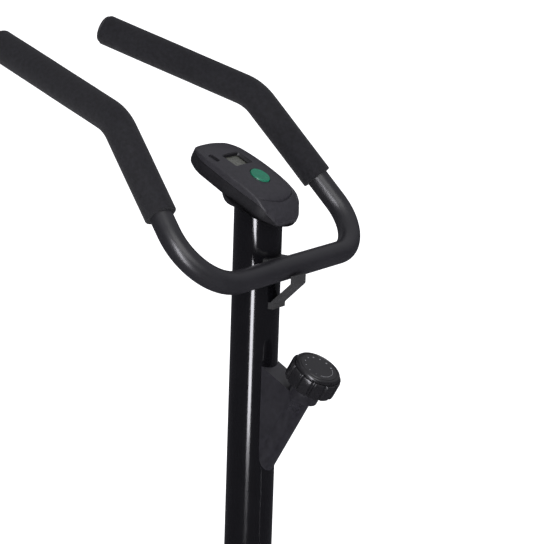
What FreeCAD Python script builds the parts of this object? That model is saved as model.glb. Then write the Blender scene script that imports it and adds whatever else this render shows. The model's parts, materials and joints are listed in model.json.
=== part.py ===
"""Upright exercise bike, as an assembly of separate solids. All sizes are millimetres.

Frame: +X to the rider's right, +Y to the front, +Z up. The origin is on the floor, at the
middle of the footprint. Angles are degrees.
"""
import FreeCAD, Part
import math
import os

V = FreeCAD.Vector
X_AXIS = V(1, 0, 0)
Y_AXIS = V(0, 1, 0)
Z_AXIS = V(0, 0, 1)

# Clearances
run_gap = 0.05        # radial clearance of a shaft in its bearing or bush
seat_gap = 0.1        # push fit between two pieces of one body
body_gap = 0.4        # between pieces that move past each other

# Overall layout
base_half = 500.0     # half of the footprint's length
base_half_width = 235.0
mast_y = 160.0        # mast axis
bar_height = 980.0    # crossbar of the handlebar

# Stabilisers, feet and transport wheels
stab_r = 25.0
stab_wall = 1.5
stab_z = 36.0
cap_r = 29.0
cap_length = 46.0
cap_wall = 3.0
pad_height = 5.0
wheel_r = 20.0
wheel_width = 18.0
wheel_bore_r = 4.0
wheel_reach = 48.0    # wheel axis in front of the stabiliser's axis
wheel_z = 36.0
front_stab_y = base_half - wheel_r - wheel_reach
rear_stab_y = -(base_half - cap_r)

# Base beam and its saddles
beam_half_width = 20.0
beam_height = 60.0
beam_wall = 2.0
beam_corner = 6.0
saddle_plate = 4.0
beam_z = stab_z + stab_r + saddle_plate
beam_top = beam_z + beam_height
bolt_r = 4.0
bolt_spread = 60.0    # between the two bolts of one stabiliser

# Crank set
crank_y = 0.0
crank_z = 290.0
crank_length = 165.0
crank_angle = -25.0   # right arm, above the horizontal, pointing to the front
axle_r = 8.5
shell_r = 24.0
shell_half = 30.0
bearing_width = 12.0
bearing_r = 20.0
arm_thickness = 14.0
arm_inner_x = 69.0
arm_boss_r = 19.0
arm_eye_r = 13.0
disc_r = 78.0
disc_thickness = 5.0
disc_x = 62.5
pulley_r = 115.0
pulley_x = 33.0
pulley_width = 12.0
pulley_lip = 1.2
lip_height = 4.0

# Flywheel, belt and brake
fly_y = 307.0
fly_z = 280.0
fly_r = 105.0
fly_rim = 20.0
fly_width = 24.0
fly_hub_r = 20.0
fly_pulley_r = 23.0
fly_axle_r = 5.0
fly_bearing_r = 13.0
fly_bearing_width = 8.0
fork_plate = 4.0
fork_left_x = -30.0
fork_right_x = 50.0
belt_thickness = 3.5
brake_gap = 3.0
brake_band = 6.0
magnet_thickness = 5.0
brake_pivot_y = 220.0
brake_pivot_z = 370.0
brake_start, brake_end = 62.0, 138.0   # arc over the flywheel, from the front horizontal

# Uprights
post_r = 28.2
post_wall = 2.2
post_top = 640.0
mast_r = 30.0
mast_wall = 1.5
mast_low = 470.0
mast_top_over_bar = 110.0 - mast_r                # a wider mast ends lower under the tilted console
seat_lean = 17.0
seat_foot_y = -182.0
seat_tube_r = 25.0
seat_tube_wall = 2.0
seat_tube_length = 375.0
seat_post_r = 19.0
seat_post_wall = 2.0
seat_post_length = 335.0
seat_post_low = 175.0    # along the seat tube, at the lowest setting
seat_hole_pitch = 25.0
seat_hole_count = 8
seat_hole_r = 4.2
seat_pin_r = 3.6
seat_pin_up = 332.0      # along the seat tube

# Handlebar
bar_r = 14.3
bar_wall = 1.5
bar_to_mast = 0.2     # weld gap between the crossbar and the mast
bar_back = mast_r + bar_r + bar_to_mast           # crossbar axis behind the mast axis
corner_x = 186.0
knee_x, knee_y, knee_z = 144.7, 110.6, 180.6      # from the mast axis and the crossbar
tip_slope_x, tip_slope_z = -0.1753, 0.3066        # per unit of Y, on the right arm
tip_length = 225.0
corner_bend_left, corner_bend_right = 70.0, 58.0
knee_bend = 60.0
grip_r = 20.0
grip_start = 0.443    # share of the way from the corner to the knee
plug_thickness = 4.0
strut_half_width = 13.0
strut_thickness = 5.0

# Tension control
tilt = 29.2           # its axis, from the vertical towards the rider
bracket_r = 18.0
bracket_y, bracket_z = -71.1, -150.4              # axis point in the bracket's top face
bracket_length = 150.0
collar_r = 24.0
collar_height = 14.0
knob_r = 31.0
knob_skirt_r = 33.0
knob_height = 27.5
knob_cap = 5.0
knob_flutes = 12
knob_flute_r = 3.2
knob_y, knob_z = -75.5, -152.9                    # axis point in the bracket's top face
spindle_r = 5.0
cable_r = 2.2
cable_hole_r = 4.0
cable_stop = 42.0     # end of the cable in front of the mast axis
cable_end_z = 398.0
wire_r = 1.8
drum_r = 9.5
drum_width = 10.0

# Console
console_tilt = 27.0
console_y, console_z = -0.7, 108.6                # centre of the button on the top face
console_split = 13.0
console_depth = 31.0
console_wall = 2.5
console_plan = [(22, -63, 20), (40, -43, 26), (42.5, 12, 150), (41, 62, 40), (27, 87, 22)]
console_side = [(-64, -31, 5), (-64, -21, 14), (-38, -3, 34), (8, 1.0, 300), (60, -2.0, 60),
                (89, -15, 8), (88, -31, 6)]
console_crown = [(46, -40, 0), (46, -9.5, 6), (28, -2.0, 40), (0, 0.8, 0)]
window_u, window_half_x, window_half_u, window_depth = 38.0, 18.0, 13.0, 5.0
button_r = 13.0
button_height = 9.0
button_travel = 1.5
console_screw_places = [(mast_r, -38), (-mast_r, -38), (30, 66), (-30, 66)]   # the lower two clear the mast
neck_low, neck_high = 72.0, 92.0
neck_low_r, neck_high_r = 34.0, 46.0

# Housing
house_half = 60.0
house_neck_room = 10.0
house_neck_half = mast_r + house_neck_room
house_wall = 2.5
house_edge_r = 9.0
house_bottom = beam_top + 0.3
house_top = 556.0
house_outline = [(-135, house_bottom, 45), (-152, 330, 90), (-62, 440, 130), (92, 478, 60),
                 (112, house_top, 12), (208, house_top, 12), (228, 478, 60), (400, 415, 110),
                 (442, 250, 90), (418, house_bottom, 45)]
house_shoulder_low, house_shoulder_high = 400.0, 520.0
boot_height = 26.0
screw_head_r = 4.5
house_screw_places = [(-112, 200), (-100, 360), (118, 380), (396, 190), (388, 350)]

# Pedals
pedal_axle_r = 6.0
pedal_gap = 14.0      # from the arm's outer face to the platform
pedal_width = 96.0
pedal_half_length = 44.0
pedal_half_height = 13.0
strap_width = 34.0
strap_thickness = 2.5
strap_rise = 52.0

# Saddle
saddle_half_rear = 112.0
saddle_half_nose = 30.0
saddle_length = 262.0
saddle_back = 118.0   # from the seat post's axis to the rear edge
pan_thickness = 12.0
cushion_thickness = 46.0
clamp_height = 26.0


def cylinder(centre, axis, radius, length):
    """A cylinder centred on a point."""
    axis = V(axis).normalize()
    return Part.makeCylinder(radius, length, V(centre) - axis * (length / 2), axis)


def rod(start, axis, radius, length):
    """A cylinder that starts at a point."""
    return Part.makeCylinder(radius, length, V(start), V(axis))


def pipe_straight(start, axis, outer, inner, length):
    """A straight tube with square ends."""
    return rod(start, axis, outer, length).cut(rod(start, axis, inner, length))


def ring(centre, axis, outer, inner, length):
    """A straight tube centred on a point."""
    return cylinder(centre, axis, outer, length).cut(cylinder(centre, axis, inner, length))


def block(x0, x1, y0, y1, z0, z1):
    """An upright block between two corners."""
    return Part.makeBox(x1 - x0, y1 - y0, z1 - z0, V(x0, y0, z0))


def fuse(*shapes):
    """One clean solid from touching ones."""
    joined = shapes[0].multiFuse(list(shapes[1:])) if len(shapes) > 1 else shapes[0]
    return joined.removeSplitter()


def rounded_edges(points, radii, closed):
    """Straight edges through points, with an arc of the given radius at each corner."""
    count = len(points)
    corners = range(count) if closed else range(1, count - 1)
    cut = {}
    for i in corners:
        here, before, after = points[i], points[i - 1], points[(i + 1) % count]
        a, b = (before - here).normalize(), (after - here).normalize()
        half = a.getAngle(b) / 2
        if radii[i] <= 0 or math.pi / 2 - half < 1e-6:
            continue
        reach = radii[i] / math.tan(half)
        middle = (a + b).normalize()
        bend = here + middle * (radii[i] / math.sin(half) - radii[i])
        cut[i] = (here + a * reach, bend, here + b * reach)
    edges = []
    for i in range(count if closed else count - 1):
        j = (i + 1) % count
        start = cut[i][2] if i in cut else points[i]
        end = cut[j][0] if j in cut else points[j]
        if (end - start).Length > 1e-6:
            edges.append(Part.LineSegment(start, end).toShape())
        if j in cut:
            edges.append(Part.Arc(*cut[j]).toShape())
    return edges


def path_wire(points, radii):
    """An open path with rounded corners."""
    return Part.Wire(rounded_edges([V(*p) for p in points], radii, False))


def sweep(wire, radius):
    """A round bar along a path of lines and tangent arcs."""
    first = wire.OrderedEdges[0]
    start = first.valueAt(first.FirstParameter)
    heading = first.tangentAt(first.FirstParameter)
    circle = Part.Wire(Part.makeCircle(radius, start, heading))
    return wire.makePipeShell([circle], True, False)


def plate_yz(outline, x0, x1):
    """A plate whose outline is (y, z, corner radius) points, between two X values."""
    points = [V(x0, y, z) for y, z, _ in outline]
    wire = Part.Wire(rounded_edges(points, [r for _, _, r in outline], True))
    return Part.Face(wire).extrude(V(x1 - x0, 0, 0))


def plate_xy(outline, z0, z1):
    """A plate whose outline is (x, y, corner radius) points, between two Z values."""
    points = [V(x, y, z0) for x, y, _ in outline]
    wire = Part.Wire(rounded_edges(points, [r for _, _, r in outline], True))
    return Part.Face(wire).extrude(V(0, 0, z1 - z0))


def plate_xz(outline, y0, y1):
    """A plate whose outline is (x, z, corner radius) points, between two Y values."""
    points = [V(x, y0, z) for x, z, _ in outline]
    wire = Part.Wire(rounded_edges(points, [r for _, _, r in outline], True))
    return Part.Face(wire).extrude(V(0, y1 - y0, 0))


def mirrored(shape):
    """The same piece on the rider's other side."""
    return shape.mirror(V(0, 0, 0), X_AXIS)


def softened(shape, radius, keep):
    """Rounds the edges that keep() picks."""
    edges = [e for e in shape.Edges if keep(e)]
    return shape.makeFillet(radius, edges) if edges else shape


def hex_head(start, axis, across, height):
    """A hexagonal bolt head or nut that starts at a point."""
    axis = V(axis).normalize()
    side = X_AXIS if abs(axis.x) < 0.9 else Z_AXIS
    across_dir = axis.cross(side).normalize()
    other = axis.cross(across_dir)
    corner = across / math.sqrt(3)
    points = [V(start) + across_dir * (corner * math.cos(math.radians(60 * k)))
              + other * (corner * math.sin(math.radians(60 * k))) for k in range(6)]
    return Part.Face(Part.makePolygon(points + points[:1])).extrude(axis * height)


# ---------------------------------------------------------------- base

def base_beam():
    """Rectangular tube with closed ends, welded to a curved plate over each stabiliser."""
    def section(inset, y0, y1):
        w, low, high = beam_half_width - inset, beam_z + inset, beam_top - inset
        r = beam_corner - inset
        return plate_xz([(-w, low, r), (w, low, r), (w, high, r), (-w, high, r)], y0, y1)
    tail, nose = rear_stab_y - beam_half_width, front_stab_y + beam_half_width
    beam = section(0, tail, nose).cut(section(beam_wall, tail + beam_wall, nose - beam_wall))
    return fuse(beam, *saddle_plates())


def stabiliser(y):
    """Round cross tube between its two end caps."""
    half = base_half_width - cap_wall - seat_gap
    tube = pipe_straight(V(-half, y, stab_z), X_AXIS, stab_r, stab_r - stab_wall, 2 * half)
    for side in (-1, 1):
        hole = cylinder(V(side * bolt_spread / 2, y, stab_z), Z_AXIS, bolt_r + seat_gap, 3 * stab_r)
        tube = tube.cut(hole)
    return tube


def stabilisers():
    """The rear and the front cross tube."""
    return [stabiliser(rear_stab_y), stabiliser(front_stab_y)]


def saddle_plates():
    """Curved plates that seat the beam on each stabiliser."""
    plates = []
    for y in (rear_stab_y, front_stab_y):
        half_x = bolt_spread / 2 + 14
        plate = block(-half_x, half_x, y - beam_half_width, y + beam_half_width,
                      stab_z + stab_r / 2, beam_z)
        plate = plate.cut(cylinder(V(0, y, stab_z), X_AXIS, stab_r + seat_gap, 4 * half_x))
        for side in (-1, 1):
            hole = cylinder(V(side * bolt_spread / 2, y, beam_z), Z_AXIS, bolt_r + seat_gap, 2 * stab_r)
            plate = plate.cut(hole)
        plates.append(plate)
    return plates


def stabiliser_bolts():
    """Carriage bolts with domed nuts, two on each stabiliser."""
    bolts = []
    for y in (rear_stab_y, front_stab_y):
        for side in (-1, 1):
            x = side * bolt_spread / 2
            low, high = stab_z - stab_r, beam_z
            shank = rod(V(x, y, low), Z_AXIS, bolt_r, high - low + 9)
            head = rod(V(x, y, low - 3), Z_AXIS, 8, 3)
            nut = hex_head(V(x, y, high), Z_AXIS, 13, 7)
            dome = Part.makeSphere(6.2, V(x, y, high + 7), Z_AXIS, 0, 90)
            bolts.append(fuse(shank, head, nut, dome))
    return bolts


def end_cap(y, side):
    """Moulded cup over one end of a stabiliser, cut by nothing yet."""
    x = side * base_half_width
    cup = rod(V(x, y, stab_z), V(-side, 0, 0), cap_r, cap_length)
    cup = softened(cup, 5, lambda e: abs(e.CenterOfMass.x - x) < 0.01)
    room = rod(V(x - side * cap_wall, y, stab_z), V(-side, 0, 0), stab_r + seat_gap, cap_length)
    return cup, room


def rear_caps():
    """Plain caps of the rear stabiliser."""
    caps = []
    for side in (-1, 1):
        cup, room = end_cap(rear_stab_y, side)
        caps.append(cup.cut(room).cut(pad_shape(rear_stab_y, side)))
    return caps


def wheel_centre(side):
    """Centre of a transport wheel."""
    return V(side * (base_half_width - cap_length / 2), front_stab_y + wheel_reach, wheel_z)


def end_caps():
    """Caps of the rear stabiliser, and front ones with a fork for the transport wheel."""
    caps = rear_caps()
    for side in (-1, 1):
        cup, room = end_cap(front_stab_y, side)
        centre = wheel_centre(side)
        ears = []
        for ear in (-1, 1):
            inner = centre.x + ear * (wheel_width / 2 + body_gap)
            outer = inner + ear * 4.5
            outline = [(front_stab_y, stab_z - 18, 3), (centre.y, wheel_z - 9, 6),
                       (centre.y + 9, wheel_z - 4, 6), (centre.y + 9, wheel_z + 6, 6),
                       (centre.y, wheel_z + 10, 6), (front_stab_y, stab_z + 22, 3)]
            ears.append(plate_yz(outline, min(inner, outer), max(inner, outer)))
        cap = fuse(cup, *ears).cut(room)
        cap = cap.cut(cylinder(centre, X_AXIS, wheel_r + 1.2, wheel_width + 2 * body_gap))
        cap = cap.cut(cylinder(centre, X_AXIS, wheel_bore_r - 0.5 + 0.02, cap_length))
        caps.append(cap.cut(pad_shape(front_stab_y, side)))
    return caps


def wheel_pins():
    """Axle pins of the transport wheels."""
    pins = []
    for side in (-1, 1):
        span = wheel_width + 2 * body_gap + 9
        centre = wheel_centre(side)
        pin = cylinder(centre, X_AXIS, wheel_bore_r - 0.5, span)
        head = rod(centre + V(side * span / 2, 0, 0), V(side, 0, 0), 6, 1.2)
        pins.append(fuse(pin, head))
    return pins


def transport_wheel(side):
    """Grooved wheel on its pin."""
    centre = wheel_centre(side)
    wheel = cylinder(centre, X_AXIS, wheel_r, wheel_width)
    wheel = softened(wheel, 3, lambda e: e.Curve.TypeId == "Part::GeomCircle")
    wheel = wheel.cut(cylinder(centre, X_AXIS, wheel_bore_r - 0.5 + run_gap, 2 * wheel_width))
    for end in (-1, 1):
        face = centre + V(end * wheel_width / 2, 0, 0)
        wheel = wheel.cut(ring(face, X_AXIS, wheel_r - 6, 8, 6))
    return wheel


def pad_shape(y, side):
    """Rubber foot under an end cap, which the part stands on."""
    x = side * (base_half_width - cap_length / 2)
    top = stab_z - stab_r - 1
    return plate_xy([(x - 17, y - 14, 5), (x + 17, y - 14, 5), (x + 17, y + 14, 5), (x - 17, y + 14, 5)],
                    0, top)


def floor_pads():
    """The four rubber feet."""
    return [pad_shape(y, side) for y in (rear_stab_y, front_stab_y) for side in (-1, 1)]


# ---------------------------------------------------------------- frame

def seat_axis():
    """Foot and direction of the seat tube's axis."""
    lean = math.radians(seat_lean)
    return V(0, seat_foot_y, beam_top), V(0, -math.sin(lean), math.cos(lean))


def seat_point(along):
    """A point on the seat tube's axis."""
    foot, up = seat_axis()
    return foot + up * along


def seat_tube():
    """Leaning tube that holds the seat post, with a threaded boss at the back."""
    foot, up = seat_axis()
    below = 12.0
    start = foot - up * below
    outer = rod(start, up, seat_tube_r, seat_tube_length + below)
    outer = outer.cut(block(-60, 60, seat_foot_y - 99, seat_foot_y + 99, beam_top - 60, beam_top))
    back = V(0, -math.cos(math.radians(seat_lean)), -math.sin(math.radians(seat_lean)))
    boss = rod(seat_point(seat_pin_up), back, 11, seat_tube_r + 12)
    bore = rod(foot + up * 6, up, seat_tube_r - seat_tube_wall, seat_tube_length)
    tube = fuse(outer, boss).cut(bore)
    return tube.cut(rod(seat_point(seat_pin_up), back, seat_pin_r + run_gap, seat_tube_r + 40))


def front_post():
    """Upright spigot that carries the mast."""
    start = V(0, mast_y, beam_top)
    tube = pipe_straight(start, Z_AXIS, post_r, post_r - post_wall, post_top - beam_top)
    return tube.cut(sweep(cable_path(), cable_hole_r))


def crank_shell():
    """Bearing shell for the crank axle, with a seat for a bearing at each end."""
    centre = V(0, crank_y, crank_z)
    outer = cylinder(centre, X_AXIS, shell_r, 2 * shell_half)
    outer = outer.cut(cylinder(centre, X_AXIS, bearing_r - 2, 2 * shell_half))
    for side in (-1, 1):
        seat = cylinder(centre + V(side * (shell_half - bearing_width / 2), 0, 0), X_AXIS,
                        bearing_r, bearing_width)
        outer = outer.cut(seat)
    return outer


def crank_support():
    """The bearing shell, welded to the beam by an upright box and to the post by a plate."""
    box = block(-18, 18, crank_y - 16, crank_y + 16, beam_top, crank_z)
    box = box.cut(block(-15.5, 15.5, crank_y - 13.5, crank_y + 13.5, beam_top, crank_z))
    outline = [(crank_y, crank_z + 14, 0), (crank_y, crank_z - 18, 0), (mast_y, crank_z - 4, 0),
               (mast_y, crank_z + 36, 0)]
    tie = plate_yz(outline, -9, 9)
    whole = fuse(box, tie)
    whole = whole.cut(cylinder(V(0, crank_y, crank_z), X_AXIS, shell_r - 1, 100))
    whole = whole.cut(cylinder(V(0, mast_y, crank_z), Z_AXIS, post_r + seat_gap, 400))
    return fuse(whole, crank_shell())


def flywheel_fork():
    """Welded fork that holds the flywheel's axle."""
    def arm(x):
        outline = [(fly_y - 34, beam_top, 0), (fly_y + 34, beam_top, 0), (fly_y + 15, fly_z + 8, 10),
                   (fly_y, fly_z + 18, 14), (fly_y - 15, fly_z + 8, 10)]
        return plate_yz(outline, x, x + fork_plate)
    base = block(fork_left_x, fork_right_x + fork_plate, fly_y - 34, fly_y + 34, beam_top,
                 beam_top + fork_plate)
    whole = fuse(arm(fork_left_x), arm(fork_right_x), base)
    return whole.cut(cylinder(V(0, fly_y, fly_z), X_AXIS, fly_axle_r + seat_gap, 300))


def mast():
    """Round mast over the post, with a slot where the cable goes in."""
    low = V(0, mast_y, mast_low)
    length = bar_height + mast_top_over_bar - mast_low
    tube = pipe_straight(low, Z_AXIS, mast_r, mast_r - mast_wall, length)
    return tube.cut(sweep(cable_path(), cable_hole_r))


def bolt_heights():
    """Heights of the two rows of mast bolts."""
    return (mast_low + 30, mast_low + 70)


def mast_bolts():
    """Socket screws with curved washers that clamp the mast to the post."""
    screws = []
    for z in bolt_heights():
        for side in (-1, 1):
            start = V(side * mast_r, mast_y, z)
            out = V(side, 0, 0)
            washer = rod(start - out * 2, out, 7.5, 4)
            washer = washer.cut(cylinder(V(0, mast_y, z), Z_AXIS, mast_r + seat_gap, 40))
            head = rod(start + out * 2, out, 6, 4.2)
            head = head.cut(hex_head(start + out * 4, out, 5, 3))
            screws.append(fuse(washer, head))
    return screws


# ---------------------------------------------------------------- handlebar

def bar_points():
    """Corner points of the handlebar's axis, from the left tip to the right one."""
    y0, z0 = mast_y - bar_back, bar_height
    heading = V(tip_slope_x, 1, tip_slope_z).normalize()
    right_knee = V(knee_x, mast_y + knee_y, z0 + knee_z)
    right = [V(corner_x, y0, z0), right_knee, right_knee + heading * tip_length]
    left = [V(-p.x, p.y, p.z) for p in reversed(right)]
    return left + right


def handlebar():
    """One bent tube: crossbar, two corners and two knees."""
    points = bar_points()
    radii = [0, knee_bend, corner_bend_left, corner_bend_right, knee_bend, 0]
    wire = Part.Wire(rounded_edges(points, radii, False))
    return sweep(wire, bar_r).cut(sweep(wire, bar_r - bar_wall))


def grip(side):
    """Foam sleeve from below the knee to the tip."""
    points = bar_points()[3:]
    corner, knee, tip = [V(side * p.x, p.y, p.z) for p in points]
    low = corner + (knee - corner) * grip_start
    wire = Part.Wire(rounded_edges([low, knee, tip], [0, knee_bend, 0], False))
    return sweep(wire, grip_r).cut(sweep(wire, bar_r + seat_gap))


def bar_plugs():
    """Plastic plugs in the two tips."""
    plugs = []
    for tip, knee in ((bar_points()[0], bar_points()[1]), (bar_points()[5], bar_points()[4])):
        out = (tip - knee).normalize()
        cap = rod(tip, out, grip_r - 2, plug_thickness)
        cap = softened(cap, 2, lambda e: (e.CenterOfMass - tip).dot(out) > plug_thickness - 0.1)
        stem = rod(tip - out * 14, out, bar_r - bar_wall - seat_gap, 14)
        plugs.append(fuse(cap, stem))
    return plugs


def bar_welds():
    """Weld fillets between the crossbar and the mast, above and below."""
    y0 = mast_y - bar_back
    fillets = []
    for side in (-1, 1):
        low, high = sorted((side * 3.5, side * 10.5))
        web = block(-20, 20, y0, mast_y - 14, bar_height + low, bar_height + high)
        web = web.cut(cylinder(V(0, mast_y, bar_height), Z_AXIS, mast_r + seat_gap, 100))
        fillets.append(web.cut(cylinder(V(0, y0, bar_height), X_AXIS, bar_r + seat_gap, 100)))
    return fillets


def handlebar_brackets():
    """Bent flat bar that braces the crossbar from below, and the two welded webs."""
    out, tab_top, elbow, foot, low = bar_back + bar_r + strut_thickness + 0.2, -6.0, -16.0, -44.0, -52.0
    t = strut_thickness
    outline = [(mast_y - out, bar_height + tab_top, 1), (mast_y - out, bar_height + elbow - 2, 4),
               (mast_y - mast_r - t, bar_height + foot - 2, 4), (mast_y - mast_r - t, bar_height + low, 1),
               (mast_y - mast_r + 8, bar_height + low, 0), (mast_y - mast_r + 8, bar_height + foot, 0),
               (mast_y - mast_r, bar_height + foot, 0),
               (mast_y - out + t, bar_height + elbow, 2), (mast_y - out + t, bar_height + tab_top, 1)]
    plate = plate_yz(outline, -strut_half_width, strut_half_width)
    strut = plate.cut(cylinder(V(0, mast_y, bar_height), Z_AXIS, mast_r + seat_gap, 300))
    return [strut] + bar_welds()


# ---------------------------------------------------------------- tension control

def tension_axis():
    """Direction of the knob's axis: up and towards the rider."""
    lean = math.radians(tilt)
    return V(0, -math.sin(lean), math.cos(lean))


def from_mast(y, z):
    """A point in the middle plane, from the mast axis and the crossbar."""
    return V(0, mast_y + y, bar_height + z)


def wedge(radius, up_from_face, down):
    """Round-nosed wedge along the tension axis, reaching back to the mast axis."""
    axis = tension_axis()
    side = axis.cross(X_AXIS).normalize()
    if side.y < 0:
        side = side * -1
    nose = from_mast(bracket_y, bracket_z) - axis * down
    reach = side * (mast_r + 110)
    a, b = nose + V(radius, 0, 0), nose - V(radius, 0, 0)
    tip = nose - side * radius
    edges = [Part.Arc(b, tip, a).toShape(), Part.LineSegment(a, a + reach).toShape(),
             Part.LineSegment(a + reach, b + reach).toShape(), Part.LineSegment(b + reach, b).toShape()]
    return Part.Face(Part.Wire(edges)).extrude(axis * (down + up_from_face))


def tension_bracket():
    """Moulded wedge that holds the knob on the mast, hollow from the mast's side."""
    wall = 2.5
    body = wedge(bracket_r, 0, bracket_length)
    collar = rod(from_mast(knob_y, knob_z) - tension_axis() * 4, tension_axis(), collar_r - 4, collar_height + 4)
    body = fuse(body, collar)
    hollow = wedge(bracket_r - wall, -wall, bracket_length - 12)
    behind = block(-99, 99, mast_y, mast_y + 300, bar_height - 600, bar_height + 100)
    shaft = rod(from_mast(knob_y, knob_z) - tension_axis() * 30, tension_axis(), spindle_r + run_gap, 80)
    body = body.cut(hollow).cut(behind).cut(shaft)
    body = body.cut(cylinder(V(0, mast_y, bar_height), Z_AXIS, mast_r + seat_gap, 900))
    return max(body.Solids, key=lambda s: s.Volume)


def tension_knob():
    """Fluted knob with a raised cap and a blind bore for the spindle."""
    axis = tension_axis()
    base = from_mast(knob_y, knob_z) + axis * (collar_height + 2 * body_gap)
    skirt_height = knob_height - knob_cap
    skirt = rod(base, axis, knob_skirt_r, skirt_height)
    cap = rod(base, axis, knob_r, knob_height)
    top = base + axis * knob_height
    cap = softened(cap, 2.5, lambda e: (e.CenterOfMass - top).Length < 1)
    side = axis.cross(X_AXIS).normalize()
    for k in range(knob_flutes):
        turn = math.radians(360 / knob_flutes * k)
        out = X_AXIS * math.cos(turn) + side * math.sin(turn)
        skirt = skirt.cut(rod(base + out * (knob_skirt_r + 1.2) - axis, axis, knob_flute_r, skirt_height + 2))
    knob = fuse(cap, skirt)
    return knob.cut(rod(base, axis, spindle_r, 16))


def tension_spindle():
    """Spindle and cable drum that turn with the knob."""
    axis = tension_axis()
    face = from_mast(knob_y, knob_z)
    top = collar_height + 2 * body_gap + 16
    shaft = rod(face - axis * 24, axis, spindle_r, top + 24)
    drum = rod(face - axis * (4 + drum_width), axis, drum_r, drum_width)
    groove = ring(face - axis * (4 + drum_width / 2), axis, drum_r + 1, drum_r - 2.5, 4)
    return fuse(shaft, drum.cut(groove))


def cable_path():
    """Axis of the tension cable: off the drum, down inside the mast and out at the brake."""
    axis = tension_axis()
    forward = V(0, axis.z, -axis.y)
    drum = from_mast(knob_y, knob_z) - axis * (4 + drum_width / 2)
    start = drum + forward * (drum_r + 3)
    route = [start, V(0, mast_y - 4, bar_height - 245), V(0, mast_y - 4, 470),
             V(0, mast_y + cable_stop, 425), V(0, mast_y + cable_stop, cable_end_z)]
    return path_wire(route, [0, 120, 40, 26, 0])


def tension_cable():
    """Steel cable in its sheath, from the knob's drum to the stop over the brake."""
    return sweep(cable_path(), cable_r)


# ---------------------------------------------------------------- console

def console_frame(x, u, n):
    """A point of the console: across, up the slope and out of its top face."""
    lean = math.radians(console_tilt)
    return V(x, mast_y + console_y + u * math.cos(lean) - n * math.sin(lean),
             bar_height + console_z + u * math.sin(lean) + n * math.cos(lean))


def console_normal():
    """Direction out of the console's top face."""
    return (console_frame(0, 0, 1) - console_frame(0, 0, 0)).normalize()


def console_wire(points, radii, inset):
    """Closed outline in the console's frame, moved in by a wall's thickness."""
    wire = Part.Wire(rounded_edges([console_frame(*p) for p in points], radii, True))
    return wire.makeOffset2D(-inset) if inset else wire


def console_prism(inset):
    """A prism on the console's plan outline."""
    plan = console_plan + [(-x, u, r) for x, u, r in reversed(console_plan)]
    wire = console_wire([(x, u, -70) for x, u, _ in plan], [r for _, _, r in plan], inset)
    return Part.Face(wire).extrude(console_normal() * 90)


def console_body(inset):
    """The console's whole outer form, or its inside when inset."""
    plan_form = console_prism(inset)
    side_wire = console_wire([(-60, u, n) for u, n, _ in console_side],
                             [r for _, _, r in console_side], inset)
    side_form = Part.Face(side_wire).extrude(V(120, 0, 0))
    crown = console_crown + [(-x, n, r) for x, n, r in reversed(console_crown[:-1])]
    crown_wire = console_wire([(x, -90, n) for x, n, _ in crown], [r for _, _, r in crown], inset)
    along = console_frame(0, 1, 0) - console_frame(0, 0, 0)
    crown_form = Part.Face(crown_wire).extrude(along * 200)
    return plan_form.common(side_form).common(crown_form)


def console_part(inset, n0, n1):
    """The part of the console's form between two depths."""
    return console_body(inset).common(console_box(-80, 80, -100, 120, n0, n1))


def console_box(x0, x1, u0, u1, n0, n1):
    """A block in the console's own frame."""
    points = [console_frame(x0, u0, n0), console_frame(x1, u0, n0),
              console_frame(x1, u1, n0), console_frame(x0, u1, n0)]
    return Part.Face(Part.makePolygon(points + points[:1])).extrude(console_normal() * (n1 - n0))


def console_rod(x, u, n0, n1, radius):
    """A cylinder along the console's normal."""
    return rod(console_frame(x, u, n0), console_normal(), radius, n1 - n0)


def console_upper():
    """Top shell with the display window and the button's bore."""
    body = console_part(0, -console_split, 5)
    body = body.cut(console_part(console_wall, -console_split - 1, -window_depth - console_wall))
    window = console_box(-window_half_x, window_half_x, window_u - window_half_u,
                         window_u + window_half_u, -console_split, 1)
    body = body.cut(window).cut(console_rod(0, 0, -console_split, 1, button_r + body_gap))
    roof = -window_depth - console_wall
    posts = [console_rod(x, u, -console_depth + console_wall + seat_gap, roof + 1, 4.2)
             for x, u in console_screw_places]
    body = fuse(body, *posts)
    for x, u in console_screw_places:
        body = body.cut(console_rod(x, u, -console_depth, roof - 2, 1.5 + seat_gap))
    return body


def neck():
    """Round neck that joins the console to the mast."""
    cone = Part.makeCone(neck_low_r, neck_high_r, neck_high - neck_low,
                         V(0, mast_y, bar_height + neck_low), Z_AXIS)
    return cone.common(console_prism(3))


def console_lower():
    """Bottom shell with the neck that slips over the mast."""
    body = console_part(0, -console_depth - 5, -console_split)
    room = console_part(console_wall, -console_depth + console_wall, -console_split + 1)
    core = rod(V(0, mast_y, bar_height), Z_AXIS, mast_r + seat_gap, mast_top_over_bar + seat_gap)
    collar = neck().cut(console_part(0.5, -console_depth + console_wall, 20))
    whole = fuse(body.cut(room), collar).cut(core)
    for x, u in console_screw_places:
        whole = whole.cut(console_rod(x, u, -console_depth - 5, 0, 1.5 + seat_gap))
        whole = whole.cut(console_rod(x, u, -console_depth - 5, -console_depth + 1.2, 3.2))
    return max(whole.Solids, key=lambda piece: piece.Volume)


def lens():
    """Clear window over the display."""
    w, h = window_half_x - seat_gap, window_half_u - seat_gap
    return console_box(-w, w, window_u - h, window_u + h, -window_depth - 1.5, -window_depth)


def lcd():
    """Liquid crystal display under the window."""
    w, h = window_half_x - 1, window_half_u - 1
    return console_box(-w, w, window_u - h, window_u + h, -window_depth - 4, -window_depth - 1.6)


def console_button():
    """Round key with a flange that keeps it in its bore."""
    key = console_rod(0, 0, -button_height, 1.6, button_r)
    key = softened(key, 1.4, lambda e: (e.CenterOfMass - console_frame(0, 0, 1.6)).Length < 0.5)
    flange = console_rod(0, 0, -button_height - 1.5, -button_height + 1, button_r + 2.5)
    return fuse(key, flange)


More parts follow.
